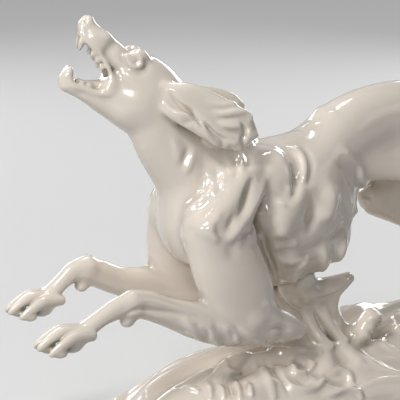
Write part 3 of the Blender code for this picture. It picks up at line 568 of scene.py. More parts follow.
def add_ears(clay):
    """Each ear is a flat tube thrown back from the skull, with a thicker rim along its lower edge."""
    near = [(9, 5.5, 11), (3, 6.2, 13.2), (-5, 7.8, 15.2), (-20, 11.2, 17.6), (-35, 12.8, 18.6),
        (-43.5, 12.4, 18)]
    clay.tube(head(near), [2.6, 3.2, 3.4, 3.6, 4, 3.4], [3.2, 7, 10, 10.8, 11.2, 8.6], across=LEFT, soft=2)
    far = [(9, 4.5, -11), (3, 4, -13.4), (-5, 4.8, -15.6), (-18, 7.8, -18), (-31, 14.8, -19),
        (-40, 19.6, -18.6), (-46, 22.4, -18.2)]
    clay.tube(head(far), [2.6, 3.2, 3.4, 3.6, 4, 3.8, 3], [3.2, 6.6, 9.4, 10.8, 11.6, 10.8, 7.6],
        across=LEFT, soft=2)
    rim = [(7.5, -0.8, 12), (0, -2.6, 15), (-9, -1.6, 18), (-19, 0, 19.4), (-30, 1.4, 20)]
    for s in (1, -1):
        clay.tube(head(np.multiply(rim, (1, 1, s))), [2.2, 2.4, 2.6, 2.4, 2], [2.6, 3, 3, 2.8, 2.2],
            across=LEFT, soft=1.6)


# Folds of the near ear and fur of the near flank: half width, height and edge, then points of the picture
EAR_FOLDS = (
    (3.4, 2.4, 0, 164, 97, 169, 108, 178, 114, 188, 117, 196, 121, 203, 130, 211, 139, 220, 145),
    (2.4, 1.5, 0, 197, 111, 204, 117, 211, 124, 219, 131, 228, 136, 237, 141),
    (3.0, 1.0, 0, 206, 100, 218, 105, 228, 105, 238, 104),
    (3.4, 2.0, 0, 214, 113, 226, 113, 236, 112, 246, 113, 251, 119),
    (2.8, 2.0, 0, 216, 123, 226, 125, 234, 126, 240, 126),
    (3.0, 1.6, 0, 222, 141, 232, 142, 239, 144, 240, 148),
    (3.2, 2.0, 0, 246, 129, 251, 134, 253, 140, 250, 146),
    (2.0, -3.2, 0, 170, 90, 174, 98, 181, 106, 188, 110, 195, 114, 200, 120, 203, 127, 207, 134),
    (2.0, -1.2, 0, 181, 122, 187, 123, 194, 122),
    (1.5, -1.3, 0, 214, 118, 224, 119, 234, 118, 243, 120),
    (2.2, -3.0, 0, 240, 121, 244, 127, 245, 134, 243, 141, 244, 148),
    (1.4, -1.3, 0, 222, 130, 230, 132, 238, 133, 243, 137),
    (1.5, -0.9, 0, 205, 106, 214, 109, 224, 109, 234, 107),
)
FUR = (
    # folds of the neck
    (2.8, -2.4, 0, 188, 147, 186, 157, 182, 168),
    (2.8, 2.0, 0, 193, 149, 191, 160, 187, 171),
    (4.0, 1.0, 0, 172, 134, 177, 146, 179, 160),
    (5.0, -1.0, 0, 203, 150, 205, 166, 201, 184),
    # mane band, with the deep slit behind it
    (11.5, 3.2, -0.1, 260, 153, 250, 171, 237, 191, 223, 209, 212, 221),
    (3.4, -6.4, 0, 254, 176, 251, 187, 247, 198, 243, 208, 238, 217),
    # ends of the ruff over the shoulder
    (3.2, 2.4, -0.2, 240, 152, 242, 161, 241, 170),
    (2.0, -1.8, 0, 247, 153, 248, 163, 244, 172),
    (3.8, 1.9, -0.2, 225, 157, 231, 166, 231, 178),
    (1.9, -1.5, 0, 237, 166, 236, 174, 230, 182),
    (3.8, 1.8, -0.2, 213, 161, 222, 172, 222, 187),
    (2.0, -1.6, 0, 226, 179, 221, 189, 215, 198),
    (3.6, 1.8, -0.2, 203, 168, 211, 180, 214, 197),
    (3.0, 2.8, 0, 214, 187, 208, 196, 198, 205, 186, 214),
    (2.6, -1.2, 0, 216, 198, 206, 207, 194, 217),
    # point of the shoulder and the ends of the mane
    (7.0, 2.4, 0, 190, 227, 200, 227, 210, 231, 217, 238),
    (3.0, -2.4, 0, 217, 221, 219, 231, 222, 241),
    (2.4, -3.0, 0, 235, 213, 231, 222, 228, 231),
    (1.9, -1.5, 0, 227, 211, 222, 221),
    (1.8, -1.3, 0, 214, 215, 209, 223),
    (6.0, -1.0, 0, 229, 238, 232, 250, 232, 262),
    # second band
    (5.6, 2.9, -0.1, 266, 174, 260, 191, 250, 210, 240, 226, 230, 238),
    (2.0, -1.9, 0, 262, 208, 255, 224, 247, 238),
    (1.8, -1.7, 0, 251, 219, 244, 232, 237, 243),
    (2.6, 1.4, 0, 254, 230, 249, 240),
    (2.6, 1.4, 0, 243, 234, 238, 245),
    # the pit behind it and the crease between arm and ribs
    (5.2, -8.5, 0, 271, 193, 265, 205, 261, 218, 261, 232, 264, 246),
    (4.0, -7.0, 0, 262, 230, 266, 247, 272, 264, 280, 286),
    (2.6, 2.8, 0, 273, 200, 279, 203),
    (2.0, 1.8, 0, 266, 209, 270, 214),
    (2.0, 1.8, 0, 260, 221, 263, 229),
    # round lock
    (12.5, 3.8, -0.25, 262, 156, 272, 160, 279, 171, 280, 189),
    (3.6, -3.2, 0, 286, 158, 293, 168, 296, 178, 293, 190, 285, 199),
    (1.8, -1.1, 0, 281, 178, 285, 187, 282, 196),
    # curved lock behind it
    (3.4, 2.8, -0.3, 284, 145, 294, 149, 301, 157, 304, 167, 303, 180),
    (2.8, -1.8, 0, 301, 146, 309, 157, 311, 170, 307, 184),
    # two broad lobes of the ribs
    (13.0, 5.2, 0.1, 306, 188, 296, 201, 287, 216, 283, 232),
    (6.5, -3.6, 0, 311, 200, 312, 215, 308, 234),
    (10.0, 3.8, 0, 328, 182, 331, 199, 327, 216),
    (3.0, -1.8, 0, 339, 197, 343, 210, 346, 223),
    (3.2, 1.7, 0, 346, 195, 350, 208, 349, 221),
    (5.0, -2.2, 0, 273, 252, 280, 254, 288, 253, 295, 249),
    (5.0, -2.2, 0, 296, 250, 305, 252, 315, 248, 325, 239),
    (4.6, -2.0, 0, 324, 242, 334, 236, 341, 229, 347, 222),
    (3.0, 1.8, 0, 293, 238, 296, 246),
    # lower locks of the ribs
    (4.4, 2.2, 0, 283, 260, 292, 262, 302, 258),
    (5.2, 5.4, 0.1, 310, 256, 301, 266, 289, 279),
    (2.6, -3.6, 0, 319, 259, 305, 273, 290, 286),
    (2.2, 1.8, 0, 321, 264, 308, 276, 295, 284),
    (4.8, 3.2, 0, 322, 246, 325, 257, 321, 270),
    (2.4, -2.0, 0, 334, 242, 332, 254, 327, 267),
    (4.0, 3.2, 0, 346, 236, 343, 247, 337, 260),
    # rim at the end of the ribs
    (3.8, 2.4, -0.2, 338, 152, 350, 157, 359, 168, 362, 181, 359, 196, 354, 212),
    (5.5, -1.2, 0, 336, 163, 346, 170, 351, 181, 352, 194),
    (2.6, 1.4, 0, 352, 214, 350, 226),
    # spine: short waves above the shoulder
    (3.0, 1.1, 0, 288, 137, 294, 133, 301, 134),
    (3.2, 1.2, 0, 302, 129, 309, 124, 317, 126),
    (3.4, 1.2, 0, 318, 119, 327, 113, 336, 114),
    # elbow and forearm
    (2.4, 1.6, 0, 262, 306, 268, 303, 272, 309),
    (2.4, -2.0, 0, 124, 317, 131, 312, 141, 309, 155, 311, 171, 313, 187, 316, 202, 319),
    (4.4, 2.0, 0, 182, 318, 191, 327, 200, 339),
    (4.6, 2.2, 0, 198, 321, 209, 331, 219, 344),
    (4.4, 2.0, 0, 218, 322, 230, 331, 238, 342),
    (4.4, 2.0, 0, 238, 326, 250, 335, 263, 342),
    (1.8, -1.9, 0, 203, 326, 208, 335, 209, 345),
    (1.8, -1.6, 0, 229, 328, 233, 336, 235, 342),
    (2.4, -1.6, 0, 268, 330, 280, 327, 292, 331),
)


def strokes(table):
    """The path of each stroke, as points of the picture, and its half width, height and edge."""
    return [(np.reshape(path, (-1, 2)), wide, high, edge) for wide, high, edge, *path in table]


def draw(clay, table):
    """Raises and cuts the strokes of a table where the picture shows them."""
    for path, wide, high, edge in strokes(table):
        clay.push([seen(clay, *p) for p in path], wide, high, edge)


def add_fur(clay):
    """Raises the locks and cuts the furrows: the near flank's where the picture shows them, and the far
    flank's as their mirror images, where the far flank has a surface in the same place."""
    for path, wide, high, edge in strokes(FUR):
        near = np.array([seen(clay, *p) for p in path])
        far = np.array([clay.touch((p[0], FLANK_AWAY, p[2]), (0, -1, 0)) for p in near])
        clay.push(near, wide, high, edge)
        if far[:, 1].min() > FLANK_LEAST and np.abs(near[:, 1] + far[:, 1]).max() < FLANK_MATCH:
            clay.push(far, wide, high, -edge)


def add_chest_fur(clay):
    """The cape over the far shoulder and the small lobe between the arms."""
    cape = ((168, 194, 14), (161, 202, 18), (158, 212, 21), (163, 223, 23), (170, 234, 21))
    clay.tube([plumb(*p) for p in cape], [4, 5.5, 6, 5.5, 3.5], [4, 5, 5.4, 5, 3.4],
        across=(0.3, 1, 0), soft=4)
    lobe = ((168, 222, 2), (173, 231, -2), (174, 240, -4))
    clay.tube([plumb(*p) for p in lobe], [3, 3.4, 2.4], [3, 3.2, 2.2], soft=2)


def add_elbow(clay, side, elbow):
    """The ball of the elbow, the flat tuft behind it and the fringe under the forearm."""
    x, z = elbow
    y = side * 30
    clay.egg((x - 1, side * 36, z + 3), (7, 5, 6), soft=3)
    clay.tube([(x + 2, y, z + 2), (x + 13, y, z - 2), (x + 24, y, z - 7), (x + 33, y - side, z - 11.5)],
        [8, 7.5, 6.5, 4.6], [9, 8.5, 7, 5], [10, 11, 10.5, 6], soft=3)
    clay.tube([(x + 8, y, z - 5.5), (x - 8, y, z - 7.4), (x - 25, y, z - 4.4), (x - 40, y, z + 4)],
        [6, 5.5, 4.6, 3], [6, 6, 5, 3], [4.5, 5, 3.8, 2.2], soft=3)


# Each foreleg's side, shift of the shoulder, bones from elbow to wrist, pastern, and knuckle as x and z
FORELEGS = (
    (-1, 0,
     ((-48, 30, 63), (-70, 30, 66.5), (-90, 29.5, 71.5), (-108, 28.5, 78.8), (-121, 28, 84.8),
      (-130, 28, 87)),
     ((-129, 28, 87), (-138, 28, 86), (-147, 28, 82.5), (-155, 28, 78.5), (-163, 28, 76)), (-172, 79)),
    (1, 5,
     ((-48, 30, 64), (-70, 30, 69), (-90, 29.5, 75.5), (-108, 28.5, 80.5), (-121, 28, 87), (-129, 28, 91)),
     ((-128, 28, 92), (-136, 28, 91), (-143, 28, 86.5), (-149, 28, 82), (-155, 28, 79)), (-163, 81)),
)


def hound(step):
    """The whole hound as clay."""
    clay = Clay(CAST_LOW, CAST_HIGH, step)
    add_trunk(clay)
    add_neck(clay)
    add_hind_leg(clay, -1, (76, 120), (124, 85), (141, 46))
    add_hind_leg(clay, 1, (62.5, 110), (103, 82), (109, 47))
    for leg in FORELEGS:
        add_foreleg(clay, *leg)
    add_elbow(clay, -1, (-58, 67))
    add_elbow(clay, 1, (-57, 69))
    add_chest_fur(clay)
    add_fur(clay)
    clay.soften(COAT_LOW, COAT_HIGH, 4)
    add_head(clay)
    add_ears(clay)
    draw(clay, EAR_FOLDS)
    add_tail(clay)
    clay.soften()
    return clay


# The middle of the base along x, its half length and half width, and the rounding of its upper edge
BASE_MIDDLE = 17
BASE_HALF_LENGTH = 145.0
BASE_HALF_WIDTH = 59.0
EDGE_ROUND = 9


def ground_height(x, y):
    """The height of the ground over the plan: mounds under the chest and the hind feet, a saddle between
    them, and long waves that run along the base and turn aside as they go."""
    def mound(cx, cy, rx, ry, top, power=1.0):
        r2 = ((x - cx) / rx) ** 2 + ((y - cy) / ry) ** 2
        return top * np.maximum(1 - r2, 0) ** power

    rise = mound(-38, -4, 80, 54, 26, 0.85)
    rise = np.maximum(rise, mound(76, 8, 98, 56, 28, 0.75))
    rise = np.maximum(rise, mound(18, 0, 90, 52, 22, 0.75))
    drift = y + 7 * np.sin(x / 27 + 0.7) + 3.5 * np.sin(x / 12.5 - y / 19)
    waves = 1.7 * np.sin(drift / 3.9) + 1.1 * np.sin(drift / 2.3 + x / 21) + 0.8 * np.sin(x / 9 - drift / 6)
    inside = np.clip(1.25 - (np.abs(x - BASE_MIDDLE) / 150) ** 3 - (np.abs(y) / 62) ** 3, 0, 1)
    return 12.5 + rise + waves * inside


# Ridges and furrows of the ground and the tuft: half width, height and edge, then points of the picture
GROUND_FOLDS = (
    (7.0, 2.4, 0, 236, 345, 218, 352, 202, 360, 184, 368, 166, 378, 146, 392),
    (2.8, -3.0, 0, 233, 352, 224, 359, 213, 366, 199, 377, 182, 385, 163, 392),
    (7.0, 3.0, 0, 248, 350, 238, 360, 228, 370, 220, 380),
    (2.4, 2.0, -0.6, 219, 361, 227, 370, 239, 374),
    (2.8, 2.2, 0, 182, 386, 190, 388, 198, 391),
    (2.8, 2.4, 0, 206, 381, 210, 389, 211, 398),
    (2.6, 2.6, 0, 218, 382, 222, 390, 224, 398),
    (3.0, 2.8, 0, 233, 380, 238, 389, 240, 398),
    (2.4, 2.2, 0, 246, 380, 250, 387, 252, 396),
    (1.8, -2.0, 0, 228, 382, 231, 390, 232, 398),
    (4.5, 2.0, 0.3, 244, 350, 264, 348, 284, 351, 302, 349, 320, 351),
    (4.4, 2.0, 0, 254, 360, 264, 370, 271, 384, 274, 398),
    (3.0, -2.0, 0, 264, 356, 275, 368, 284, 382, 290, 398),
    (3.0, 2.8, -0.3, 303, 355, 294, 358, 290, 365, 295, 373, 305, 374),
    (2.6, 2.4, 0, 306, 358, 313, 364, 309, 371),
    (3.8, -2.6, 0, 300, 361, 302, 368),
    (3.2, 3.0, 0.3, 283, 374, 290, 384, 303, 390, 316, 387, 322, 380),
    (2.6, -1.8, 0, 293, 378, 304, 382, 313, 378),
    (3.2, 2.2, 0, 330, 374, 340, 370, 350, 375, 352, 386),
    (3.4, 2.8, 0.3, 322, 398, 334, 393, 347, 390, 358, 391, 362, 398),
    (2.6, -2.0, 0, 334, 398, 345, 395, 354, 398),
    (4.0, 2.2, 0, 360, 352, 372, 362, 386, 370, 399, 374),
    (3.4, 2.2, 0, 366, 334, 378, 342, 390, 349, 402, 352),
    (4.0, 2.4, 0, 364, 320, 376, 317, 388, 322, 400, 330),
    (2.4, -2.0, 0, 362, 326, 376, 330, 392, 340),
)
TUFT_FOLDS = (
    (3.2, 1.6, 0, 314, 297, 324, 293, 336, 288, 347, 280),
    (4.6, 2.2, 0, 300, 303, 309, 320, 319, 336, 331, 347),
    (2.6, -2.8, 0, 312, 305, 319, 321, 328, 334, 338, 344),
    (4.2, 2.2, 0, 322, 303, 328, 318, 336, 331, 346, 341),
    (3.0, 1.8, 0, 284, 296, 292, 300, 299, 306),
    (2.4, -1.8, 0, 288, 308, 296, 314, 303, 326),
)


def ground(step):
    """The base and its tuft as clay: the height field inside a wavy rounded outline, then the tuft that
    props the chest, the low curled leaf behind it and the folds, and a flat cut at the underside.

    The outline is |x / a|^2.5 + |y / b|^2.22 = s^2.36, where s waves with the angle."""
    clay = Clay(GROUND_LOW, GROUND_HIGH, step)
    x, y, z = clay.axes[0][:, None, None], clay.axes[1][None, :, None], clay.axes[2][None, None, :]
    sx, sy = (x - BASE_MIDDLE) / BASE_HALF_LENGTH, y / BASE_HALF_WIDTH
    size = np.maximum(np.abs(sx) ** 2.5 + np.abs(sy) ** 2.22, 1e-6) ** 0.42
    turn = np.arctan2(np.sign(sy) * np.abs(sy) ** 1.11, np.sign(sx) * np.abs(sx) ** 1.25)
    wave = 1 + 0.014 * np.sin(5 * turn + 0.6) + 0.009 * np.sin(9 * turn) - 0.012
    away = np.sqrt((x - BASE_MIDDLE) ** 2 + y**2) / size
    side = (size / wave - 1) * np.clip(away, 40, 160) * 0.92
    top = (z - ground_height(x, y)) * 0.86
    h = np.maximum(1 - np.abs(top - side) / EDGE_ROUND, 0)
    clay.value = (np.maximum(top, side) + h * h * (EDGE_ROUND / 4)).astype(np.float32)
    for fx, fy, low in ((128, -20, 36), (97, 20, 38)):
        clay.egg((fx, fy, low - 20), (22, 15, 19.5), soft=9)
    clay.egg((47, 24, 30), (20, 16, 11.5), soft=8)
    # the tuft, the leaves at its top, a low curled one behind it and its roots
    clay.tube([(4, 0, 14), (5, 0, 34), (4, 0, 50), (0, -1, 62), (-5, -2, 72), (-7, -2, 79)],
        [15, 11, 9, 9, 11, 12], [17, 12, 8.5, 8, 7.5, 6.5], [18, 14, 11, 12, 15, 16], soft=6)
    clay.tube([(3, -6, 50), (7, -7, 60), (13, -7, 67), (19, -7, 71), (23.5, -7, 73)], [6, 6.6, 6, 5, 3.6],
        [8, 8, 5.6, 3, 1.5], [5, 6, 5.6, 5.2, 3.8], soft=3)
    clay.tube([(-8, -7, 69), (3, -8, 70), (12.5, -8, 70.8), (22, -8, 73)], [7, 7, 5.6, 3.4],
        [5, 5, 4.2, 1.6], [6.5, 6, 5, 2.6], soft=4)
    clay.tube([(-4, 8, 50), (-12, 10, 60), (-20, 11, 68)], [7, 7, 5], [8, 7, 4], soft=4)
    clay.tube([(22, -15, 36), (27, -19, 45), (31, -19, 51), (35, -17, 50), (37, -15, 43)],
        [6, 6.4, 5.6, 4.4, 3.4], [5, 5.5, 4.4, 3.4, 3], soft=3)
    for lean in np.radians((30, 80, 130, 175, 215, 255, 290, 330)):
        c, s = np.cos(lean), np.sin(lean)
        rings = ((4, 38, 30, 28), (4, 25, 19, 34), (5, 14, 11, 44), (5, 9, 7, 58))
        root = [(x0 + rx * c, ry * s, height) for x0, rx, ry, height in rings]
        clay.tube(root, [4, 5.5, 5, 3], [2.5, 4, 4, 2.5], soft=9)
    draw(clay, GROUND_FOLDS + TUFT_FOLDS)
    clay.soften()
    clay.value = np.maximum(clay.value, -z).astype(np.float32)
    return clay


def mesh_object(name, clay, other, most, deep):
    """A smooth mesh object of the clay's largest body, with at most the given number of triangles.

    Its attribute "hollow" is 1 in the deepest folds and 0 on open surface: at d out from the surface along
    the normal n the clays' least value is d where it is open and less in a fold, so it is 1 - value / d."""
    points, faces = whole(*clay.skin())
    raw = bpy.data.meshes.new(name)
    raw.vertices.add(len(points))
    raw.vertices.foreach_set("co", (points * MM).astype(np.float32).ravel())
    raw.loops.add(faces.size)
    raw.loops.foreach_set("vertex_index", faces.astype(np.int32).ravel())
    raw.polygons.add(len(faces))
    raw.polygons.foreach_set("loop_start", np.arange(0, faces.size, 4, dtype=np.int32))
    raw.update(calc_edges=True)
    thing = bpy.data.objects.new(name, raw)
    bpy.context.collection.objects.link(thing)
    reduce = thing.modifiers.new("Reduce", "DECIMATE")
    reduce.ratio = min(1.0, most / (2 * len(faces)))
    mesh = bpy.data.meshes.new_from_object(thing.evaluated_get(bpy.context.evaluated_depsgraph_get()))
    thing.modifiers.clear()
    thing.data = mesh
    bpy.data.meshes.remove(raw)
    mesh.name = name
    mesh.shade_smooth()
    count = len(mesh.vertices)
    place = np.empty(count * 3, np.float32)
    normal = np.empty(count * 3, np.float32)
    mesh.vertices.foreach_get("co", place)
    mesh.vertices.foreach_get("normal", normal)
    place, normal = place.reshape(-1, 3) / MM, normal.reshape(-1, 3)
    hollow = np.zeros(count)
    for far, share in ((deep, 0.6), (3 * deep, 0.4)):
        out = place + normal * far
        value = np.minimum(clay.at(out), other.at(out))
        hollow += share * np.clip(1 - value / far, 0, 1)
    # The glaze paints shade into the folds by this attribute.
    mesh.attributes.new("hollow", "FLOAT", "POINT").data.foreach_set("value", hollow.astype(np.float32))
    return thing


class Maths:
    """A shader number: arithmetic on it makes Math nodes."""

    def __init__(self, tree, socket):
        self.tree, self.socket = tree, socket

    def then(self, kind, *others, clamp=False):
        node = self.tree.nodes.new("ShaderNodeMath")
        node.operation, node.use_clamp = kind, clamp
        for slot, value in zip(node.inputs, (self, *others)):
            if isinstance(value, Maths):
                self.tree.links.new(value.socket, slot)
            else:
                slot.default_value = value
        return Maths(self.tree, node.outputs[0])

    def __add__(self, other):
        return self.then("ADD", other)

    def __sub__(self, other):
        return self.then("SUBTRACT", other)

    def __mul__(self, other):
        return self.then("MULTIPLY", other)

    def limited(self, low, high):
        """0 at low, 1 at high and even between."""
        return ((self - low) * (1 / (high - low))).then("ADD", 0.0, clamp=True)


def node(tree, kind, links=None, **values):
    """A new node with its properties set and its named inputs linked or given values."""
    made = tree.nodes.new(kind)
    for name, value in values.items():
        setattr(made, name, value)
    for name, value in (links or {}).items():
        if isinstance(value, bpy.types.NodeSocket):
            tree.links.new(value, made.inputs[name])
        else:
            made.inputs[name].default_value = value
    return made


def mixed(tree, share, first, second):
    """A colour between two, by a number from 0 to 1."""
    blend = node(tree, "ShaderNodeMix", {"Factor": share.socket}, data_type="RGBA")
    blend.inputs["A"].default_value = (*first, 1)
    blend.inputs["B"].default_value = (*second, 1)
    return blend.outputs["Result"]


def glaze(look):
    """White porcelain under a clear glaze, faintly uneven and duller in the folds, with painted shade there:
    its colour goes dark and warm by the depth of each fold.
    """
    made = bpy.data.materials.new("porcelain_glaze")
    made.use_nodes = True
    tree = made.node_tree
    tree.nodes.clear()
    where = node(tree, "ShaderNodeTexCoord").outputs["Object"]
    hollow = Maths(tree, node(tree, "ShaderNodeAttribute", attribute_name="hollow").outputs["Fac"])
    noises = ({"Vector": where, "Scale": s, "Detail": d} for s, d in ((26.0, 3.0), (210.0, 2.0)))
    cloud, fine = (Maths(tree, node(tree, "ShaderNodeTexNoise", n).outputs["Fac"]) for n in noises)
    # Painted shade: by the hollow attribute, with a little cloudy variation, the colour goes from the glaze
    # colour to a dark, warm colour in the folds.
    painted_shade = (hollow.limited(0.12, 0.85) + (cloud - 0.5) * 0.22).then("ADD", 0.0, clamp=True)
    tint = mixed(tree, painted_shade, look.glaze_colour, look.painted_shade_colour)
    rough = hollow * 0.1 + cloud * 0.06 + look.roughness
    height = cloud * 0.7 + fine * 0.12
    ripple = node(tree, "ShaderNodeBump", {"Height": height.socket, "Strength": 0.35, "Distance": 0.0012})
    shader = node(tree, "ShaderNodeBsdfPrincipled", {
        "Base Color": tint, "Roughness": rough.socket, "Normal": ripple.outputs["Normal"], "IOR": 1.5,
        "Coat Weight": 1.0, "Coat Roughness": 0.03, "Coat IOR": 1.5, "Subsurface Weight": 0.15,
        "Subsurface Radius": (1.0, 0.85, 0.7), "Subsurface Scale": 0.002})
    node(tree, "ShaderNodeOutputMaterial", {"Surface": shader.outputs["BSDF"]})
    return made


def floor_surface(look):
    """A matt grey floor. The camera and reflections see it paler than it is as a source of light."""
    made = bpy.data.materials.new("studio_floor")
    made.use_nodes = True
    tree = made.node_tree
    shader = tree.nodes["Principled BSDF"]
    rays = node(tree, "ShaderNodeLightPath").outputs
    direct = Maths(tree, rays["Is Camera Ray"]) + Maths(tree, rays["Is Glossy Ray"])
    direct = (direct + Maths(tree, rays["Is Transmission Ray"])).then("ADD", 0.0, clamp=True)
    inputs = shader.inputs
    tree.links.new(mixed(tree, direct, look.floor_bounce, look.floor_colour), inputs["Base Color"])
    tree.links.new(mixed(tree, direct, (0, 0, 0), look.floor_glow), inputs["Emission Color"])
    shader.inputs["Emission Strength"].default_value = 1.0
    shader.inputs["Roughness"].default_value = 0.7
    return made


def colour(name, about, value):
    """A colour that a user may change."""
    return bpy.props.FloatVectorProperty(
        name=name, description=about, subtype="COLOR", default=value, min=0, max=1)


def power(name, about, watts):
    """A lamp's power that a user may change."""
    return bpy.props.FloatProperty(name=name, description=about, subtype="POWER", default=watts, min=0)


class HoundLook(bpy.types.PropertyGroup):
    grain: bpy.props.FloatProperty(
        name="Grain", description="Cell size of the clay grid", default=0.0008, min=0.0005, max=0.003,
        unit="LENGTH", precision=5)
    triangles: bpy.props.IntProperty(
        name="Triangles", description="Most triangles in one piece", default=192000, min=10000, max=199000)
    glaze_colour: colour("Glaze", "Colour of the open surface", (0.87, 0.785, 0.69))
    # Painted shade: the dark colour that the folds are given.
    painted_shade_colour: colour("Painted fold shade", "Colour in the folds", (0.33, 0.295, 0.22))
    roughness: bpy.props.FloatProperty(
        name="Roughness", description="Least roughness under the clear coat", default=0.16, min=0, max=1,
        subtype="FACTOR")
    fold_depth: bpy.props.FloatProperty(
        name="Fold depth", description="Depth at which a fold reads as hollow", default=0.0022, min=0.0005,
        max=0.01, unit="LENGTH", precision=4)


class StageLook(bpy.types.PropertyGroup):
    floor_colour: colour("Floor", "Colour of the floor and the backdrop", (0.45, 0.45, 0.45))
    floor_glow: colour("Floor glow", "Light that the camera and reflections see there", (0.3, 0.3, 0.3))
    floor_bounce: colour("Floor bounce", "Colour with which the floor lights the object", (0.2, 0.2, 0.2))
    key_power: power("Key light", "Power of the soft light high on the left", 4.7)
    side_power: power("Side light", "Power of the low light on the left", 3.2)
    front_power: power("Front light", "Power of the small light above the camera", 1.5)
    top_power: power("Top light", "Power of the overhead light", 2.3)
    back_power: power("Back lights", "Power of each of the two lights behind", 3.4)
    fill_power: power("Fill light", "Power of the light on the right", 0.3)
    sky: bpy.props.FloatProperty(
        name="Surround", description="Strength of the even surrounding light", default=0.15, min=0, max=2)
    lens: bpy.props.FloatProperty(
        name="Lens", description="Focal length of the camera", default=163.64, min=20, max=400,
        subtype="DISTANCE_CAMERA")


# The clays made so far, by kind and grain
CLAYS = {}


def clay_of(kind, look):
    """The hound's or the ground's clay, made once for each grain."""
    step = look.grain / MM
    if (kind, step) not in CLAYS:
        CLAYS[kind, step] = {"hound": hound, "ground": ground}[kind](step)
    return CLAYS[kind, step]


def dress(thing):
    """Gives a piece the glaze and the CAD body that it rides on, and hides the CAD node that it stands for.
    """
    made = bpy.data.materials.get("porcelain_glaze") or glaze(bpy.context.scene.hound_look)
    thing.data.materials.clear()
    thing.data.materials.append(made)
    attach(thing, "root")
    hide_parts("borzoi_figurine")


def sculpt(kind, other):
    """Makes one piece from its clay; folds that the other piece closes are hollow too."""
    look = bpy.context.scene.hound_look
    clay, beside = clay_of(kind, look), clay_of(other, look)
    dress(mesh_object(kind, clay, beside, look.triangles, look.fold_depth / MM))
    return {"FINISHED"}


class FIGURINE_OT_hound(bpy.types.Operator):
    """Sculpts the hound: trunk, neck, head, ears, legs, tail and coat"""
    bl_idname = "figurine.hound"
    bl_label = "Hound"

    def execute(self, context):
        return sculpt("hound", "ground")


class FIGURINE_OT_ground(bpy.types.Operator):
    """Sculpts the ground and the leafy tuft that props the hound"""
    bl_idname = "figurine.ground"
    bl_label = "Ground"

    def execute(self, context):
        return sculpt("ground", "hound")


# Each lamp's name, place and size in metres, and the property that holds its power; all aim at one point
LAMP_AIM = (-0.06, 0.0, 0.13)
LAMPS = (
    ("key", (-0.69, -0.322, 0.972), (0.22, 0.18), "key_power"),
    ("side", (-1.03, -0.374, 0.483), (0.22, 0.18), "side_power"),
    ("top", (0.056, 0.2, 1.205), (0.32, 0.2), "top_power"),
    ("front", (-0.705, -0.84, 0.578), (0.18, 0.16), "front_power"),
    ("fill", (0.69, -0.72, 0.49), (0.4, 0.3), "fill_power"),
    ("back right", (0.9, 0.55, 0.45), (0.6, 0.45), "back_power"),
    ("back left", (-0.13, 1.08, 0.51), (0.6, 0.45), "back_power"),
)

# The floor's front edge, the start and radius of its bend, and the backdrop's height and half width
FLOOR_FRONT = -3.0
FLOOR_BEND = 2.2
BEND_RADIUS = 0.5
BACKDROP_TOP = 4.0
BACKDROP_HALF = 5.0


def lamp(name, place, size, watts):
    """A rectangular area light at a place, turned to the lamps' aim and hidden from the camera."""
    light = bpy.data.lights.new(name, "AREA")
    light.shape = "RECTANGLE"
    light.size, light.size_y = size
    light.energy = watts
    thing = bpy.data.objects.new(name, light)
    thing.location = place
    thing.visible_camera = False
    thing.rotation_euler = (Vector(LAMP_AIM) - Vector(place)).to_track_quat("-Z", "Y").to_euler()
    bpy.context.collection.objects.link(thing)


def backdrop():
    """A floor that curves up into a backdrop: one profile along the camera's heading, carried across."""
    turn = np.linspace(0, np.pi / 2, 13)
    bend = FLOOR_BEND + BEND_RADIUS * np.sin(turn)
    away = np.concatenate([[FLOOR_FRONT], bend, [FLOOR_BEND + BEND_RADIUS]])
    up = np.concatenate([[0.0], BEND_RADIUS - BEND_RADIUS * np.cos(turn), [BACKDROP_TOP]])
    heading = -BACK[:2] / np.linalg.norm(BACK[:2])
    across = np.array([heading[1], -heading[0]])
    wide = np.array([-BACKDROP_HALF, BACKDROP_HALF])
    plan = away[:, None, None] * heading + wide[None, :, None] * across
    height = np.broadcast_to(up[:, None, None], (len(up), 2, 1))
    points = np.concatenate([plan, height], axis=2).reshape(-1, 3)
    k = np.arange(len(up) - 1) * 2
    faces = np.column_stack([k, k + 1, k + 3, k + 2])
    mesh = bpy.data.meshes.new("floor")
    mesh.from_pydata(points.tolist(), [], faces.tolist())
    mesh.shade_smooth()
    if sum(face.normal.z for face in mesh.polygons) < 0:
        mesh.flip_normals()
    return bpy.data.objects.new("floor", mesh)


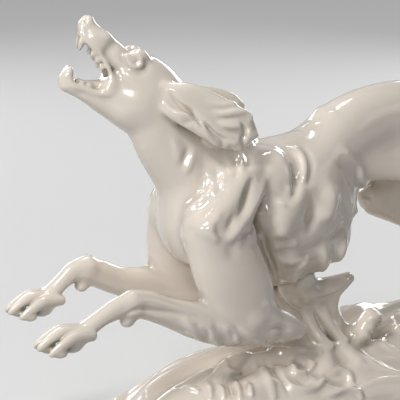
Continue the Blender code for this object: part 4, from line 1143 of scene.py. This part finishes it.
class FIGURINE_OT_stage(bpy.types.Operator):
    """Sets the floor with its backdrop, the soft lights and the camera"""
    bl_idname = "figurine.stage"
    bl_label = "Stage"

    def execute(self, context):
        look = context.scene.stage_look
        floor = backdrop()
        context.collection.objects.link(floor)
        floor.data.materials.append(floor_surface(look))
        for name, place, size, field in LAMPS:
            lamp(name, place, size, getattr(look, field))
        world = bpy.data.worlds.new("surround")
        world.use_nodes = True
        surround = world.node_tree.nodes["Background"].inputs
        surround["Color"].default_value = (1, 1, 1, 1)
        surround["Strength"].default_value = look.sky
        context.scene.world = world
        context.scene.view_settings.view_transform = "Standard"
        camera = bpy.data.cameras.new("camera")
        camera.lens, camera.sensor_width = look.lens, 36.0
        camera.clip_start, camera.clip_end = 0.05, 20.0
        eye = bpy.data.objects.new("camera", camera)
        eye.location = Vector(EYE * MM)
        eye.rotation_euler = Vector(-BACK).to_track_quat("-Z", "Y").to_euler()
        context.collection.objects.link(eye)
        context.scene.camera = eye
        return {"FINISHED"}


class FIGURINE_PT_panel(bpy.types.Panel):
    """The figurine's pieces, sizes and colours"""
    bl_idname = "FIGURINE_PT_panel"
    bl_label = "Figurine"
    bl_space_type = "VIEW_3D"
    bl_region_type = "UI"
    bl_category = "Figurine"

    def draw(self, context):
        scene = context.scene
        groups = (("Hound and ground", scene.hound_look, OPERATORS[:2]),
                  ("Stage", scene.stage_look, OPERATORS[2:]))
        for name, look, kinds in groups:
            box = self.layout.box()
            box.label(text=name)
            for field in look.bl_rna.properties:
                if field.identifier not in ("rna_type", "name"):
                    box.prop(look, field.identifier)
            for kind in kinds:
                box.operator(kind.bl_idname)


OPERATORS = (FIGURINE_OT_hound, FIGURINE_OT_ground, FIGURINE_OT_stage)
CLASSES = (HoundLook, StageLook, *OPERATORS, FIGURINE_PT_panel)


def register():
    """Makes the classes and the scene's two groups of settings known to Blender."""
    for kind in CLASSES:
        bpy.utils.register_class(kind)
    bpy.types.Scene.hound_look = bpy.props.PointerProperty(type=HoundLook)
    bpy.types.Scene.stage_look = bpy.props.PointerProperty(type=StageLook)


def unregister():
    """Takes the settings and the classes out again."""
    del bpy.types.Scene.stage_look
    del bpy.types.Scene.hound_look
    for kind in reversed(CLASSES):
        bpy.utils.unregister_class(kind)


def main():
    """Builds the figurine and its stage."""
    register()
    bpy.ops.figurine.hound()
    bpy.ops.figurine.ground()
    bpy.ops.figurine.stage()
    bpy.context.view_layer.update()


if __name__ == "__main__":
    main()
